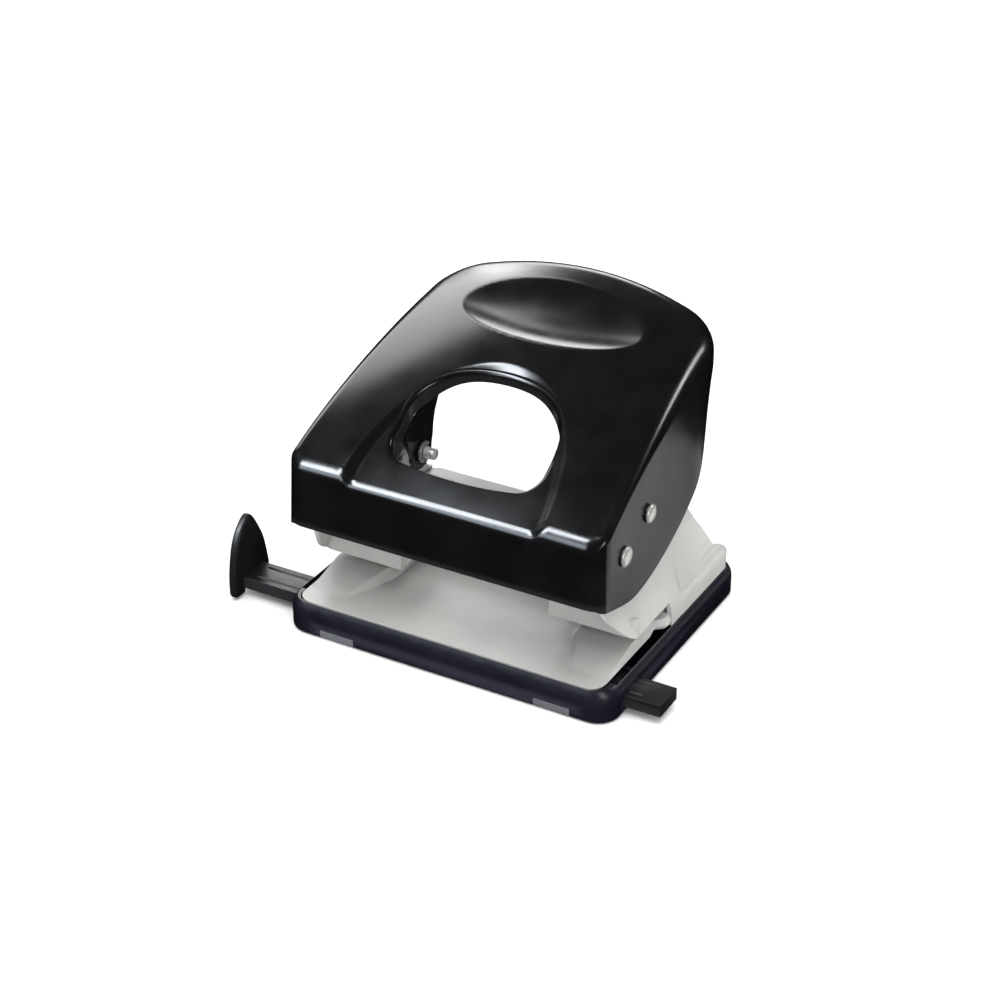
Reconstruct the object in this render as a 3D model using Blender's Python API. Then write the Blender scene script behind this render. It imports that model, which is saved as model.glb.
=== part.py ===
"""Two-hole desk punch: pressed-steel lever handle, steel base, plastic chip tray and paper guide.

Blender 4.5, metres, +Z up. Lengths in this file are millimetres and are scaled by MM as each mesh is made.
Origin: centre of the chip tray's underside. +X is the user's right, -Y the side where paper goes in.
"""

import math

import bmesh
import bpy
from mathutils import Vector

MM = 0.001

# Driving sizes
HOLE_SPACING = 80.0  # standard two-hole filing pattern
PUNCH_X = HOLE_SPACING / 2
PUNCH_Y = -12.0  # holes stand 12 mm in front of the paper stop
PUNCH_R = 2.75
TRAY_HALF_W, TRAY_FRONT_Y, TRAY_REAR_Y = 61.0, -46.0, 49.5
TRAY_FRONT_R, TRAY_REAR_R = 8.0, 4.5
TRAY_WALL, TRAY_FLOOR = 1.8, 1.5
PLATE_Z, PLATFORM_Z, DECK_Z = 12.2, 16.0, 19.8
SHEET = 1.2  # sheet steel of the plate and the handle
SLOT_TOP = 20.8  # underside of the frames, above the paper
PIVOT_Y, PIVOT_Z = -30.6, 54.6
DRIVE_Y, DRIVE_Z = -12.8, 60.8
HANDLE_HALF_W = 57.8
HANDLE_FRONT_Y = -46.6
FIT = 0.3  # gap between pieces that touch
RUN = 0.10  # radial clearance of a shaft in its hole
ROUND = 24  # sides of a pin and of its hole
BAR_Y0, BAR_Y1 = -36.0, -24.0
BAR_Z0, BAR_Z1 = 3.0, 7.4
BAR_LEFT, BAR_RIGHT = -84.0, 74.0

COLOURS = {
    "handle_black": ((0.012, 0.012, 0.013), 0.12, 0.3),
    "frame_grey": ((0.62, 0.62, 0.60), 0.45, 0.3),
    "tray_plastic": ((0.015, 0.015, 0.022), 0.45, 0.0),
    "bar_plastic": ((0.02, 0.02, 0.024), 0.45, 0.0),
    "foot_rubber": ((0.28, 0.29, 0.31), 0.8, 0.0),
    "tool_steel": ((0.50, 0.50, 0.50), 0.3, 1.0),
    "pin_steel": ((0.60, 0.60, 0.60), 0.25, 1.0),
    "spring_steel": ((0.45, 0.46, 0.48), 0.3, 1.0),
    "washer_plastic": ((0.75, 0.75, 0.72), 0.5, 0.0),
}


# ---------------------------------------------------------------- helpers
def clear_scene():
    for obj in list(bpy.data.objects):
        bpy.data.objects.remove(obj, do_unlink=True)


def material(name):
    made = bpy.data.materials.get(name)
    if made:
        return made
    colour, roughness, metallic = COLOURS[name]
    made = bpy.data.materials.new(name)
    made.use_nodes = True
    shader = made.node_tree.nodes["Principled BSDF"]
    shader.inputs["Base Color"].default_value = (*colour, 1.0)
    shader.inputs["Roughness"].default_value = roughness
    shader.inputs["Metallic"].default_value = metallic
    return made


def add_object(name, points, faces, finish):
    """A mesh object from points in millimetres, with its faces turned outwards."""
    mesh = bpy.data.meshes.new(name)
    mesh.from_pydata([Vector(p) * MM for p in points], [], faces)
    work = bmesh.new()
    work.from_mesh(mesh)
    bmesh.ops.recalc_face_normals(work, faces=work.faces)
    work.to_mesh(mesh)
    work.free()
    mesh.materials.append(material(finish))
    mesh.shade_smooth()
    mesh.set_sharp_from_angle(angle=math.radians(35))
    obj = bpy.data.objects.new(name, mesh)
    bpy.context.scene.collection.objects.link(obj)
    return obj


def turned_to(axis, a, b, along):
    """The 3-D point whose two profile coordinates are a and b, at `along` on the named axis."""
    return {"X": (along, a, b), "Y": (a, along, b), "Z": (a, b, along)}[axis]


def prism(name, outline, low, high, axis, finish):
    """A closed prism: an outline in the plane across the axis, from low to high along it."""
    count = len(outline)
    points = [turned_to(axis, a, b, low) for a, b in outline]
    points += [turned_to(axis, a, b, high) for a, b in outline]
    faces = [tuple(range(count)), tuple(range(count, 2 * count))]
    faces += [(i, (i + 1) % count, (i + 1) % count + count, i + count) for i in range(count)]
    return add_object(name, points, faces, finish)


def box(name, low, high, finish):
    outline = [(low[0], low[1]), (high[0], low[1]), (high[0], high[1]), (low[0], high[1])]
    return prism(name, outline, low[2], high[2], "Z", finish)


def turned(name, profile, axis, centre, sides, finish):
    """A solid of revolution: profile is (radius, distance along the axis), first and last on the axis."""
    points, rings = [], []
    for radius, along in profile:
        if radius == 0:
            rings.append([len(points)])
            points.append(turned_to(axis, *centre, along))
            continue
        rings.append(list(range(len(points), len(points) + sides)))
        for i in range(sides):
            angle = 2 * math.pi * i / sides
            a = centre[0] + radius * math.cos(angle)
            b = centre[1] + radius * math.sin(angle)
            points.append(turned_to(axis, a, b, along))
    faces = []
    for first, second in zip(rings, rings[1:]):
        for i in range(sides):
            j = (i + 1) % sides
            corners = [first[i % len(first)], first[j % len(first)]]
            corners += [second[j % len(second)], second[i % len(second)]]
            faces.append(tuple(dict.fromkeys(corners)))
    return add_object(name, points, faces, finish)


def rod(name, radius, low, high, axis, centre, sides, finish):
    profile = [(0, low), (radius, low), (radius, high), (0, high)]
    return turned(name, profile, axis, centre, sides, finish)


def boolean(target, tool, operation):
    modifier = target.modifiers.new(operation.lower() + "_" + tool.name, "BOOLEAN")
    modifier.operation = operation
    modifier.object = tool
    tool.hide_render = True
    tool.display_type = "WIRE"


def cut(target, *tools):
    for tool in tools:
        boolean(target, tool, "DIFFERENCE")


def join(target, *tools):
    for tool in tools:
        boolean(target, tool, "UNION")


def bake(obj):
    """Turns the object's modifiers into plain mesh, so that it can be mirrored."""
    graph = bpy.context.evaluated_depsgraph_get()
    mesh = bpy.data.meshes.new_from_object(obj.evaluated_get(graph))
    obj.modifiers.clear()
    obj.data = mesh
    return obj


def mirrored(obj, name):
    """The same solid on the other side of the YZ plane."""
    bake(obj)
    mesh = obj.data.copy()
    for vertex in mesh.vertices:
        vertex.co.x = -vertex.co.x
    mesh.flip_normals()
    twin = bpy.data.objects.new(name, mesh)
    bpy.context.scene.collection.objects.link(twin)
    return twin


def arc(centre, radius, start, end, steps):
    """Points on an arc, angles in degrees, both ends included."""
    found = []
    for i in range(steps + 1):
        angle = math.radians(start + (end - start) * i / steps)
        found.append((centre[0] + radius * math.cos(angle), centre[1] + radius * math.sin(angle)))
    return found


def rounded_rectangle(half_x, half_y, radius, steps):
    found = []
    for quarter, (sx, sy) in enumerate([(1, 1), (-1, 1), (-1, -1), (1, -1)]):
        centre = (sx * (half_x - radius), sy * (half_y - radius))
        found += arc(centre, radius, 90 * quarter, 90 * quarter + 90, steps)
    return found


def ease(value, low, high):
    """0 below low, 1 above high and a smooth step between."""
    t = min(1.0, max(0.0, (value - low) / (high - low)))
    return t * t * (3 - 2 * t)


def ramp(value, low, high):
    return min(1.0, max(0.0, (value - low) / (high - low)))


def through_points(table, value):
    """Smooth interpolation in a short table of (position, value) pairs."""
    if value <= table[0][0]:
        return table[0][1]
    for i in range(len(table) - 1):
        (x0, y0), (x1, y1) = table[i], table[i + 1]
        if value <= x1:
            before = table[max(i - 1, 0)]
            after = table[min(i + 2, len(table) - 1)]
            m0 = (y1 - before[1]) / (x1 - before[0])
            m1 = (after[1] - y0) / (after[0] - x0)
            span, t = x1 - x0, (value - x0) / (x1 - x0)
            h00, h10 = 2 * t**3 - 3 * t**2 + 1, t**3 - 2 * t**2 + t
            h01, h11 = -2 * t**3 + 3 * t**2, t**3 - t**2
            return h00 * y0 + h10 * span * m0 + h01 * y1 + h11 * span * m1
    return table[-1][1]


def solidified(obj, thickness):
    """Gives a sheet its thickness, on the inner side of its outer surface."""
    modifier = obj.modifiers.new("sheet", "SOLIDIFY")
    modifier.thickness = thickness * MM
    modifier.offset = -1
    return obj


# ---------------------------------------------------------------- handle
EMBOSS_Y = -46.0  # centre of the pressed half-ellipse round the opening
EMBOSS_A, EMBOSS_B, EMBOSS_DEPTH, EMBOSS_SLOPE = 37.0, 48.8, 2.2, 4.6
OPENING_HALF_W, OPENING_ARCH_Y, OPENING_ARCH_B = 28.6, -20.0, 20.2
OPENING_FRONT_Y, OPENING_BOW, OPENING_CORNER_R = -37.5, 2.2, 7.0
DISH_Y, DISH_A, DISH_B, DISH_DEPTH = 28.0, 33.0, 15.5, 3.2
BEND_SIDE, BEND_SIDE_REAR, BEND_FRONT, BEND_FRONT_ENDS, BEND_REAR = 2.6, 8.0, 4.6, 6.4, 7.0
CROWN = [(-46.0, 0.2), (-25.0, 2.6), (0.0, 5.6), (20.0, 7.6), (40.0, 8.8), (60.0, 9.4)]
SKIRT_LOW = [
    (-46.6, 42.0), (-36.0, 38.6), (-25.0, 36.2), (-14.0, 37.4), (-2.0, 41.2), (9.0, 46.4),
    (15.0, 50.2), (22.0, 55.5), (28.0, 60.8), (33.0, 67.5),
    (37.0, 76.0), (41.0, 83.5), (48.0, 88.0), (60.0, 89.5),
]
COLUMN_STEP = 6.2


def ridge_height(y):
    """Height of the handle's face along its side edges, at depth y."""
    back = y - EMBOSS_Y
    return 64.8 + 0.575 * back - 0.0026 * back * back


def face_height(x, y):
    """Height of the handle's outer face, with the pressed panel and the palm dish."""
    height = ridge_height(y) + through_points(CROWN, y) * (1 - (x / 54) ** 2)
    depth = y - EMBOSS_Y
    q = math.hypot(x / EMBOSS_A, max(depth, 0) / EMBOSS_B)
    if 0 < q < 1:
        inside = math.hypot(x, max(depth, 0)) * (1 / q - 1)
        height -= EMBOSS_DEPTH * ease(inside, 0, EMBOSS_SLOPE)
    elif q == 0:
        height -= EMBOSS_DEPTH
    dish = (x / DISH_A) ** 2 + ((y - DISH_Y) / DISH_B) ** 2
    if dish < 1:
        height -= DISH_DEPTH * (1 - dish)
    return height


def outer_outline():
    """Plan of the handle's skirt, anticlockwise from the middle of the front: points with outward normals."""
    corners = [(HANDLE_HALF_W, HANDLE_FRONT_Y, 6.2, 4), (51.6, 53.5, 20.0, 8), (0.0, 63.4, 190.0, 8)]
    corners += [(-x, *rest) for x, *rest in corners[1::-1]]
    points = [Vector(corner[:2]) for corner in corners]
    found = []
    for i, (_, _, radius, steps) in enumerate(corners):
        before = (points[i - 1] - points[i]).normalized()
        after = (points[(i + 1) % len(points)] - points[i]).normalized()
        half = before.angle(after) / 2
        centre = points[i] + (before + after).normalized() * (radius / math.sin(half))
        reach = radius / math.tan(half)
        start, end = points[i] + before * reach - centre, points[i] + after * reach - centre
        turn = start.angle_signed(end)
        for k in range(steps + 1):
            angle = -turn * k / steps
            spoke = Vector((
                start.x * math.cos(angle) - start.y * math.sin(angle),
                start.x * math.sin(angle) + start.y * math.cos(angle),
            ))
            found.append((centre + spoke, spoke.normalized()))
    return with_even_runs(found)


def with_even_runs(outline):
    """The outline with its long straight runs divided evenly, each into an even number of steps."""
    found = []
    for (a, across_a), (b, across_b) in zip(outline, outline[1:] + outline[:1]):
        steps = 1
        if (b - a).length > 1.5 * COLUMN_STEP:
            steps = 2 * math.ceil((b - a).length / COLUMN_STEP / 2)
        for k in range(steps):
            found.append((a.lerp(b, k / steps), across_a.lerp(across_b, k / steps).normalized()))
    return found


def opening_reach(direction):
    """Distance from the opening's centre to its edge along a unit direction, by bisection."""
    def inside(point):
        x, y = abs(point.x), point.y
        front = OPENING_FRONT_Y + OPENING_BOW * (x / 24) ** 2
        arch = math.hypot(x / OPENING_HALF_W, (y - OPENING_ARCH_Y) / OPENING_ARCH_B)
        if y < front or x > OPENING_HALF_W or (y > OPENING_ARCH_Y and arch > 1):
            return False
        beyond = Vector((x - OPENING_HALF_W, y - front - OPENING_CORNER_R))
        beyond.x += OPENING_CORNER_R
        return not (beyond.x > 0 and beyond.y < 0 and beyond.length > OPENING_CORNER_R)

    low, high = 0.0, 60.0
    for _ in range(30):
        middle = (low + high) / 2
        if inside(OPENING_CENTRE + direction * middle):
            low = middle
        else:
            high = middle
    return low


OPENING_CENTRE = Vector((0.0, -21.0))
FACE_STEPS = [0, 0.07, 0.16, 0.28, 0.42, 0.57, 0.72, 0.87, 1]
BEND_STEPS = [0.33, 0.67, 1]
SKIRT_STEPS = [0.3, 0.65, 1]


def handle_column(point, normal):
    """One line of the handle's outer surface, from the opening's lip over the face to the skirt's edge."""
    x, y = point
    towards_front = ease(-normal.y, 0.3, 0.95)
    towards_rear = ease(normal.y, 0.1, 0.9)
    side = BEND_SIDE + (BEND_SIDE_REAR - BEND_SIDE) * ease(y, -42, 36)
    front = BEND_FRONT + (BEND_FRONT_ENDS - BEND_FRONT) * ease(abs(x), 33, 39)
    bend = side + (front - side) * towards_front + (BEND_REAR - side) * towards_rear
    inner = point - normal * bend
    step = 0.5
    fall = (face_height(*(inner - normal * step)) - face_height(*inner)) / step
    start = math.atan(max(-0.2, min(0.8, fall)))
    edge = point - normal * bend * (1 - math.sin(start))
    direction = (edge - OPENING_CENTRE).normalized()
    lip = OPENING_CENTRE + direction * opening_reach(direction)
    lip_depth = 3.0 + 3.5 * ease(lip.y, -36, -26) - 2.3 * ease(lip.y, -12, 0)
    lip_z = face_height(*lip)
    inward = direction * 1.6
    column = [
        (*(lip - inward), lip_z - lip_depth),
        (*(lip - inward), lip_z - 1.8),
        (*(lip - inward * 0.65), lip_z - 0.6),
    ]
    for t in FACE_STEPS:
        here = lip.lerp(edge, t)
        column.append((*here, face_height(*here)))
    top = column[-1][2]
    for t in BEND_STEPS:
        angle = start + (math.pi / 2 - start) * t
        here = edge + normal * bend * (math.sin(angle) - math.sin(start))
        column.append((*here, top - bend * (math.cos(start) - math.cos(angle))))
    low = through_points(SKIRT_LOW, y)
    lean = (HANDLE_HALF_W - abs(x)) * (1 - ease(y, 18, 42)) * ease(abs(normal.x), 0.6, 0.95)
    shoulder = column[-1][2]
    for t in SKIRT_STEPS:
        here = point + normal * lean * t
        column.append((*here, shoulder + (low - shoulder) * t))
    return column


def make_handle():
    outline = outer_outline()
    columns = [handle_column(point, normal) for point, normal in outline]
    rows = len(columns[0])
    points = [p for column in columns for p in column]
    faces = []
    for i in range(len(columns)):
        j = (i + 1) % len(columns)
        for k in range(rows - 1):
            faces.append((i * rows + k, i * rows + k + 1, j * rows + k + 1, j * rows + k))
    handle = add_object("handle", points, faces, "handle_black")
    face_turned_up(handle)
    solidified(handle, SHEET)
    for side in (1, -1):
        low, high = sorted((side * 50, side * 60))
        pivot = rod("pivot_hole", 2.5 + RUN, low, high, "X", (PIVOT_Y, PIVOT_Z), ROUND, "pin_steel")
        drive = rod("drive_hole", 2.0 + RUN, low, high, "X", (DRIVE_Y, DRIVE_Z), ROUND, "pin_steel")
        cut(handle, pivot, drive)
    return handle


def face_turned_up(obj):
    """Flips an open sheet whose upper face points down."""
    top = max(obj.data.polygons, key=lambda face: abs(face.normal.z) * face.area)
    if top.normal.z < 0:
        obj.data.flip_normals()


LUG_X0, LUG_X1, LUG_R = 26.0, 27.2, 6.5
LUG_REAR = [(-5.4, 64.0), (-4.9, 68.0), (-3.7, 72.0), (-1.5, 76.0), (2.0, 80.0)]
LUG_UNDER_LIP = [(-10.6, 76.6), (-16.0, 74.6), (-20.0, 71.4), (-22.0, 69.6), (-21.2, 66.0)]


def make_drive_lug_right():
    """An ear welded under the handle's face: it steadies the inner end of the drive pin."""
    under = 1.6 * SHEET + FIT
    outline = arc((DRIVE_Y, DRIVE_Z), LUG_R, 180, 360, 12) + LUG_REAR
    for y in (5.0, 0.0, -5.0, -8.6):
        outline.append((y, min(face_height(LUG_X0, y), face_height(LUG_X1, y)) - under))
    outline += LUG_UNDER_LIP
    lug = prism("drive_lug_right", outline, LUG_X0, LUG_X1, "X", "handle_black")
    cut(lug, rod("lug_hole", 2.0 + RUN, 20, 30, "X", (DRIVE_Y, DRIVE_Z), ROUND, "pin_steel"))
    return lug


# ---------------------------------------------------------------- base plate
PLATE_HALF_W, RAMP_W = 56.6, 2.5
PLATE_Y = [-44.4, -43.6, -41.8, -37, -31, -25, -20, -12, -8.6, -5.2, -4.2, -2.2, -1.0, 0.7]
PAN_HALF_W, PAN_FRONT_Y, PAN_REAR_Y = 57.5, 0.0, 45.4
PAN_PROFILE = [
    (0, 12.2), (0, 17.8), (0.7, 19.2), (2.0, 19.8), (4.0, 19.8),
    (4.0, 18.6), (2.6, 18.5), (1.7, 17.8), (1.2, 17.0), (1.2, 12.2),
]
CORNER_STEPS = 5


def ramp_edge(y):
    """Distance from the middle at which a ramp leaves the table: it nears the middle towards the back."""
    return 41 - 7 * ramp(y, -37, -18)


def plate_columns(y):
    edge = ramp_edge(y)
    return [0, 14, 26, edge, edge + RAMP_W, 46.5, 51, PLATE_HALF_W - 1, PLATE_HALF_W]


def plate_height(x, y):
    """Top of the paper table: flat in the middle, with two ramps up to the raised dies."""
    rise = ramp(abs(x), ramp_edge(y), ramp_edge(y) + RAMP_W) * ramp(y, -37, -20)
    edge = ramp(abs(x), PLATE_HALF_W - 1, PLATE_HALF_W)
    lifted_edge = 1.3 * ease(y, -9, -5.2) * edge
    rear_bend = 0.7 * ramp(y, -1.0, 0.7)
    return PLATE_Z + (PLATFORM_Z - PLATE_Z) * rise * (1 - edge) + lifted_edge + rear_bend


def plate_point(x, y):
    """Rounds the table's front corners and widens it where it meets the frame's wall."""
    half, radius = PLATE_HALF_W, 5.2
    widen = 3.0 * ease(y, -5.2, -1.0) * ramp(abs(x), 49, 55.6)
    dx, dy = abs(x) - (half - radius), PLATE_Y[0] + radius - y
    if dx > 0 and dy > 0:
        squeeze = max(dx, dy) / math.hypot(dx, dy)
        x = math.copysign(half - radius + dx * squeeze, x)
        y = PLATE_Y[0] + radius - dy * squeeze
    return x + math.copysign(widen, x), y


def grid_solid(name, top, finish):
    """A closed sheet from rows of top points, its underside one thickness lower and drawn in at the sides."""
    rows, width = len(top), len(top[0])
    points = [p for row in top for p in row]
    for x, y, z in list(points):
        drawn_in = 0.9 * ramp(abs(x), 53, 56.6)
        points.append((x - math.copysign(drawn_in, x), y, z - SHEET))
    below, faces = rows * width, []
    for k in range(rows - 1):
        for i in range(width - 1):
            a = k * width + i
            square = (a, a + 1, a + 1 + width, a + width)
            faces += [square, tuple(v + below for v in square)]
    rim = list(range(width)) + [k * width + width - 1 for k in range(1, rows)]
    rim += [(rows - 1) * width + i for i in range(width - 2, -1, -1)]
    rim += [k * width for k in range(rows - 2, 0, -1)]
    for a, b in zip(rim, rim[1:] + rim[:1]):
        faces.append((a, b, b + below, a + below))
    return add_object(name, points, faces, finish)


def make_pan():
    """The raised deck behind the paper stop: a shallow box, open below, its front face the paper stop."""
    half_y, middle_y = (PAN_REAR_Y - PAN_FRONT_Y) / 2, (PAN_REAR_Y + PAN_FRONT_Y) / 2
    points, count = [], 0
    for inset, z in PAN_PROFILE:
        outline = rounded_rectangle(PAN_HALF_W - inset, half_y - inset, 5.0 - inset, CORNER_STEPS)
        count = len(outline)
        points += [(x, y + middle_y, z) for x, y in outline]
    rings, faces = len(PAN_PROFILE), []
    for k in range(rings):
        if k == 4:
            continue
        for i in range(count):
            j, n = (i + 1) % count, (k + 1) % rings
            faces.append((k * count + i, k * count + j, n * count + j, n * count + i))
    faces += [tuple(range(4 * count, 5 * count)), tuple(range(5 * count, 6 * count))]
    return add_object("deck_pan", points, faces, "frame_grey")


def make_base_plate():
    rows = []
    for y in PLATE_Y:
        half = plate_columns(y)
        xs = [-x for x in reversed(half[1:])] + half
        rows.append([(*plate_point(x, y), plate_height(x, y)) for x in xs])
    plate = grid_solid("base_plate", rows, "frame_grey")
    join(plate, make_pan())
    for side in (1, -1):
        x = side * PUNCH_X
        cut(plate, rod("die_hole", PUNCH_R + RUN, 12, 18, "Z", (x, PUNCH_Y), ROUND, "pin_steel"))
        for y in FOOT_RIVETS_Y:
            cut(plate, rod("rivet_hole", 1.8, 16, 23, "Z", (side * FOOT_RIVET_X, y), 12, "pin_steel"))
    return plate


# ---------------------------------------------------------------- chip tray and feet
TRAY_PROFILE = [  # inset from the sides, inset from front and rear, height
    (1.2, 1.2, 0.0), (0.35, 0.35, 0.4), (0, 0, 1.3), (0, 0, 8.6), (0.5, 0.35, 10.0), (1.8, 0.85, 11.5),
    (2.6, 1.0, 11.8), (4.1, 1.3, 11.8), (4.1, 1.3, 10.4), (6.4, 4.0, 10.4), (6.4, 4.0, 9.2),
    (1.8, 1.8, 8.4), (1.8, 1.8, 4.2),
]
FOOT_X0, FOOT_X1 = 33.8, 46.8
FOOT_DEPTH, FOOT_H = 6.8, 3.2
BOSS_WALL = 1.2


def tray_outline(inset_x, inset_y):
    """Plan of the tray: wide round corners in front and small ones at the back."""
    half, front, rear = TRAY_HALF_W - inset_x, TRAY_FRONT_Y + inset_y, TRAY_REAR_Y - inset_y
    inset = (inset_x + inset_y) / 2
    small, wide = max(TRAY_REAR_R - inset, 0.6), TRAY_FRONT_R - inset
    found = arc((half - small, rear - small), small, 0, 90, CORNER_STEPS)
    found += arc((small - half, rear - small), small, 90, 180, CORNER_STEPS)
    found += arc((wide - half, front + wide), wide, 180, 270, CORNER_STEPS)
    return found + arc((half - wide, front + wide), wide, 270, 360, CORNER_STEPS)


def make_chip_tray():
    """The soft-plastic base: it catches the chips, carries the guide bar and hinges at its rear top edge."""
    points, count = [], 0
    for inset_x, inset_y, z in TRAY_PROFILE:
        outline = tray_outline(inset_x, inset_y)
        count = len(outline)
        points += [(x, y, z) for x, y in outline]
    layers = len(TRAY_PROFILE)
    faces = [tuple(range(count)), tuple(range(count * (layers - 1), count * layers))]
    for k in range(layers - 1):
        for i in range(count):
            j = (i + 1) % count
            faces.append((k * count + i, k * count + j, (k + 1) * count + j, (k + 1) * count + i))
    tray = add_object("chip_tray", points, faces, "tray_plastic")
    inner_x = TRAY_HALF_W - TRAY_WALL
    middle_x = FOOT_X0 - FIT - BOSS_WALL
    boss = FOOT_DEPTH + FIT + BOSS_WALL
    plus = []
    for wall_y, end, turn in ((TRAY_FRONT_Y, -1, 1), (TRAY_REAR_Y, 1, -1)):
        inner_y, boss_y = wall_y - end * TRAY_WALL, wall_y - end * boss
        plus += [(-turn * inner_x, boss_y), (-turn * middle_x, boss_y), (-turn * middle_x, inner_y)]
        plus += [(turn * middle_x, inner_y), (turn * middle_x, boss_y), (turn * inner_x, boss_y)]
    cut(tray, prism("tray_well", plus, TRAY_FLOOR, TRAY_PROFILE[-1][2] + 1, "Z", "tray_plastic"))
    rib_y = BAR_Y1 + 0.8
    rib_x = inner_x + 0.5
    rib_low, rib_high = (-rib_x, rib_y, TRAY_FLOOR - 0.5), (rib_x, rib_y + 1.4, BAR_Z1 + 0.6)
    join(tray, box("channel_rib", rib_low, rib_high, "tray_plastic"))
    for side in (1, -1):
        low, high = sorted((side * (inner_x - 3), side * (TRAY_HALF_W + 3)))
        window_low, window_high = (low, BAR_Y0 - FIT, BAR_Z0 - FIT), (high, BAR_Y1 + FIT, BAR_Z1 + FIT)
        cut(tray, box("bar_window", window_low, window_high, "tray_plastic"))
        for wall_y, end in ((TRAY_FRONT_Y, -1), (TRAY_REAR_Y, 1)):
            x0, x1 = sorted((side * (FOOT_X0 - FIT), side * (FOOT_X1 + FIT)))
            y0, y1 = sorted((wall_y - end * (FOOT_DEPTH + FIT), wall_y + end * 3))
            cut(tray, box("foot_pocket", (x0, y0, -2), (x1, y1, FOOT_H + FIT), "tray_plastic"))
    return tray


def make_foot(name, side, end):
    """A grey anti-slip pad let into the tray's lower edge, flush with its face and underside."""
    wall = TRAY_REAR_Y if end > 0 else TRAY_FRONT_Y
    section = [(wall - end * FOOT_DEPTH, 0), (wall - end * 1.2, 0), (wall - end * 0.35, 0.4)]
    section += [(wall, 1.3), (wall, FOOT_H), (wall - end * FOOT_DEPTH, FOOT_H)]
    low, high = sorted((side * FOOT_X0, side * FOOT_X1))
    return prism(name, section, low, high, "X", "foot_rubber")


# ---------------------------------------------------------------- frames
FRAME_SHEET = 1.6
FLARE = [(12.3, 59.9), (17.8, 59.5), (20.8, 58.8), (24, 57.7), (28, 56.0), (33, 54.3), (38, 53.4), (60, 53.4)]
LEDGE = [
    (12.3, 60.0), (17.8, 60.0), (19.6, 59.2), (20.4, 57.3), (24, 56.4), (28, 55.6), (33, 54.3), (38, 53.4), (60, 53.4),
]
WALL_LEVELS_Z = (15, 17.8, 19.6, 21.4, 24, 28, 33, 38)
WALL_LEVELS_Y = (8.5, 11.5, 43.0)
EAR_R = 6.5
WALL_TOP = 46.0
WALL_REAR_Y = 45.4
FOOT_RIVET_X, FOOT_RIVETS_Y = 48.0, (10.0, 30.0)
GUIDE_RIVETS_Y, GUIDE_RIVET_Z = (-17.5, -6.5), 42.0
UPPER_GUIDE_Z = 36.0
LIP_TOP = 27.0
FRAME_FRONT_Y, FRAME_INNER_X = -24.7, 27.7


def straight_line(table, value):
    """Linear interpolation in a short table of (position, value) pairs."""
    for (x0, y0), (x1, y1) in zip(table, table[1:]):
        if value <= x1:
            return y0 + (y1 - y0) * ramp(value, x0, x1)
    return table[-1][1]


def frame_x(y, z):
    """Outer face of the frame's wall: it flares out towards the base, with a ledge along its rear foot."""
    ledge = ease(y, 8.5, 11.5)
    rear_round = 1.2 * ramp(y, 43.0, WALL_REAR_Y) * (1 - ramp(z, 20, 28))
    return straight_line(FLARE, z) * (1 - ledge) + straight_line(LEDGE, z) * ledge - rear_round


def frame_wall():
    outline = [(0.9, SLOT_TOP), (0.9, 12.4), (WALL_REAR_Y, 12.4), (WALL_REAR_Y, 17.6)]
    outline += [(44.2, 19.8), (40.5, 21.2)]
    outline += [(37.5, 24.5), (32.5, 32.5), (26.5, 40.5), (21.5, WALL_TOP - 1)]
    outline += [(20.0, WALL_TOP), (-20.5, WALL_TOP), (-22.4, 47.0), (-23.3, 50.0)]
    outline += arc((PIVOT_Y, PIVOT_Z), EAR_R, 0, 180, 10)
    outline += [(-37.1, 48.0), (-37.0, 36.6), (-34.4, 31.4), (-31.6, 27.6), (-29.0, 24.6)]
    outline += [(-26.2, 22.2), (-23.6, SLOT_TOP)]
    sheet = bmesh.new()
    corners = [sheet.verts.new((0, y, z)) for y, z in outline]
    sheet.faces.new(corners)
    levels = [((0, 0, z), (0, 0, 1)) for z in WALL_LEVELS_Z] + [((0, y, 0), (0, 1, 0)) for y in WALL_LEVELS_Y]
    for place, across in levels:
        geometry = sheet.verts[:] + sheet.edges[:] + sheet.faces[:]
        bmesh.ops.bisect_plane(sheet, geom=geometry, plane_co=place, plane_no=across)
    bmesh.ops.triangulate(sheet, faces=sheet.faces[:])
    sheet.verts.index_update()
    points = [(frame_x(v.co.y, v.co.z), v.co.y, v.co.z) for v in sheet.verts]
    faces = [tuple(v.index for v in face.verts) for face in sheet.faces]
    rim = [tuple(v.index for v in edge.verts) for edge in sheet.edges if edge.is_boundary]
    count = len(points)
    sheet.free()
    points += [(x - FRAME_SHEET, y, z) for x, y, z in points]
    sides = [(a, b, b + count, a + count) for a, b in rim]
    faces += [tuple(i + count for i in face) for face in faces] + sides
    return add_object("frame_right", points, faces, "frame_grey")


def ribbon(name, path, thickness, low, high, finish):
    """An upright strip that follows a plan path, its thickness laid to the path's left."""
    inner = []
    for i, (x, y) in enumerate(path):
        before = Vector(path[max(i - 1, 0)])
        after = Vector(path[min(i + 1, len(path) - 1)])
        along = (after - before).normalized()
        inner.append((x - along.y * thickness, y + along.x * thickness))
    return prism(name, path + inner[::-1], low, high, "Z", finish)


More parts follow.
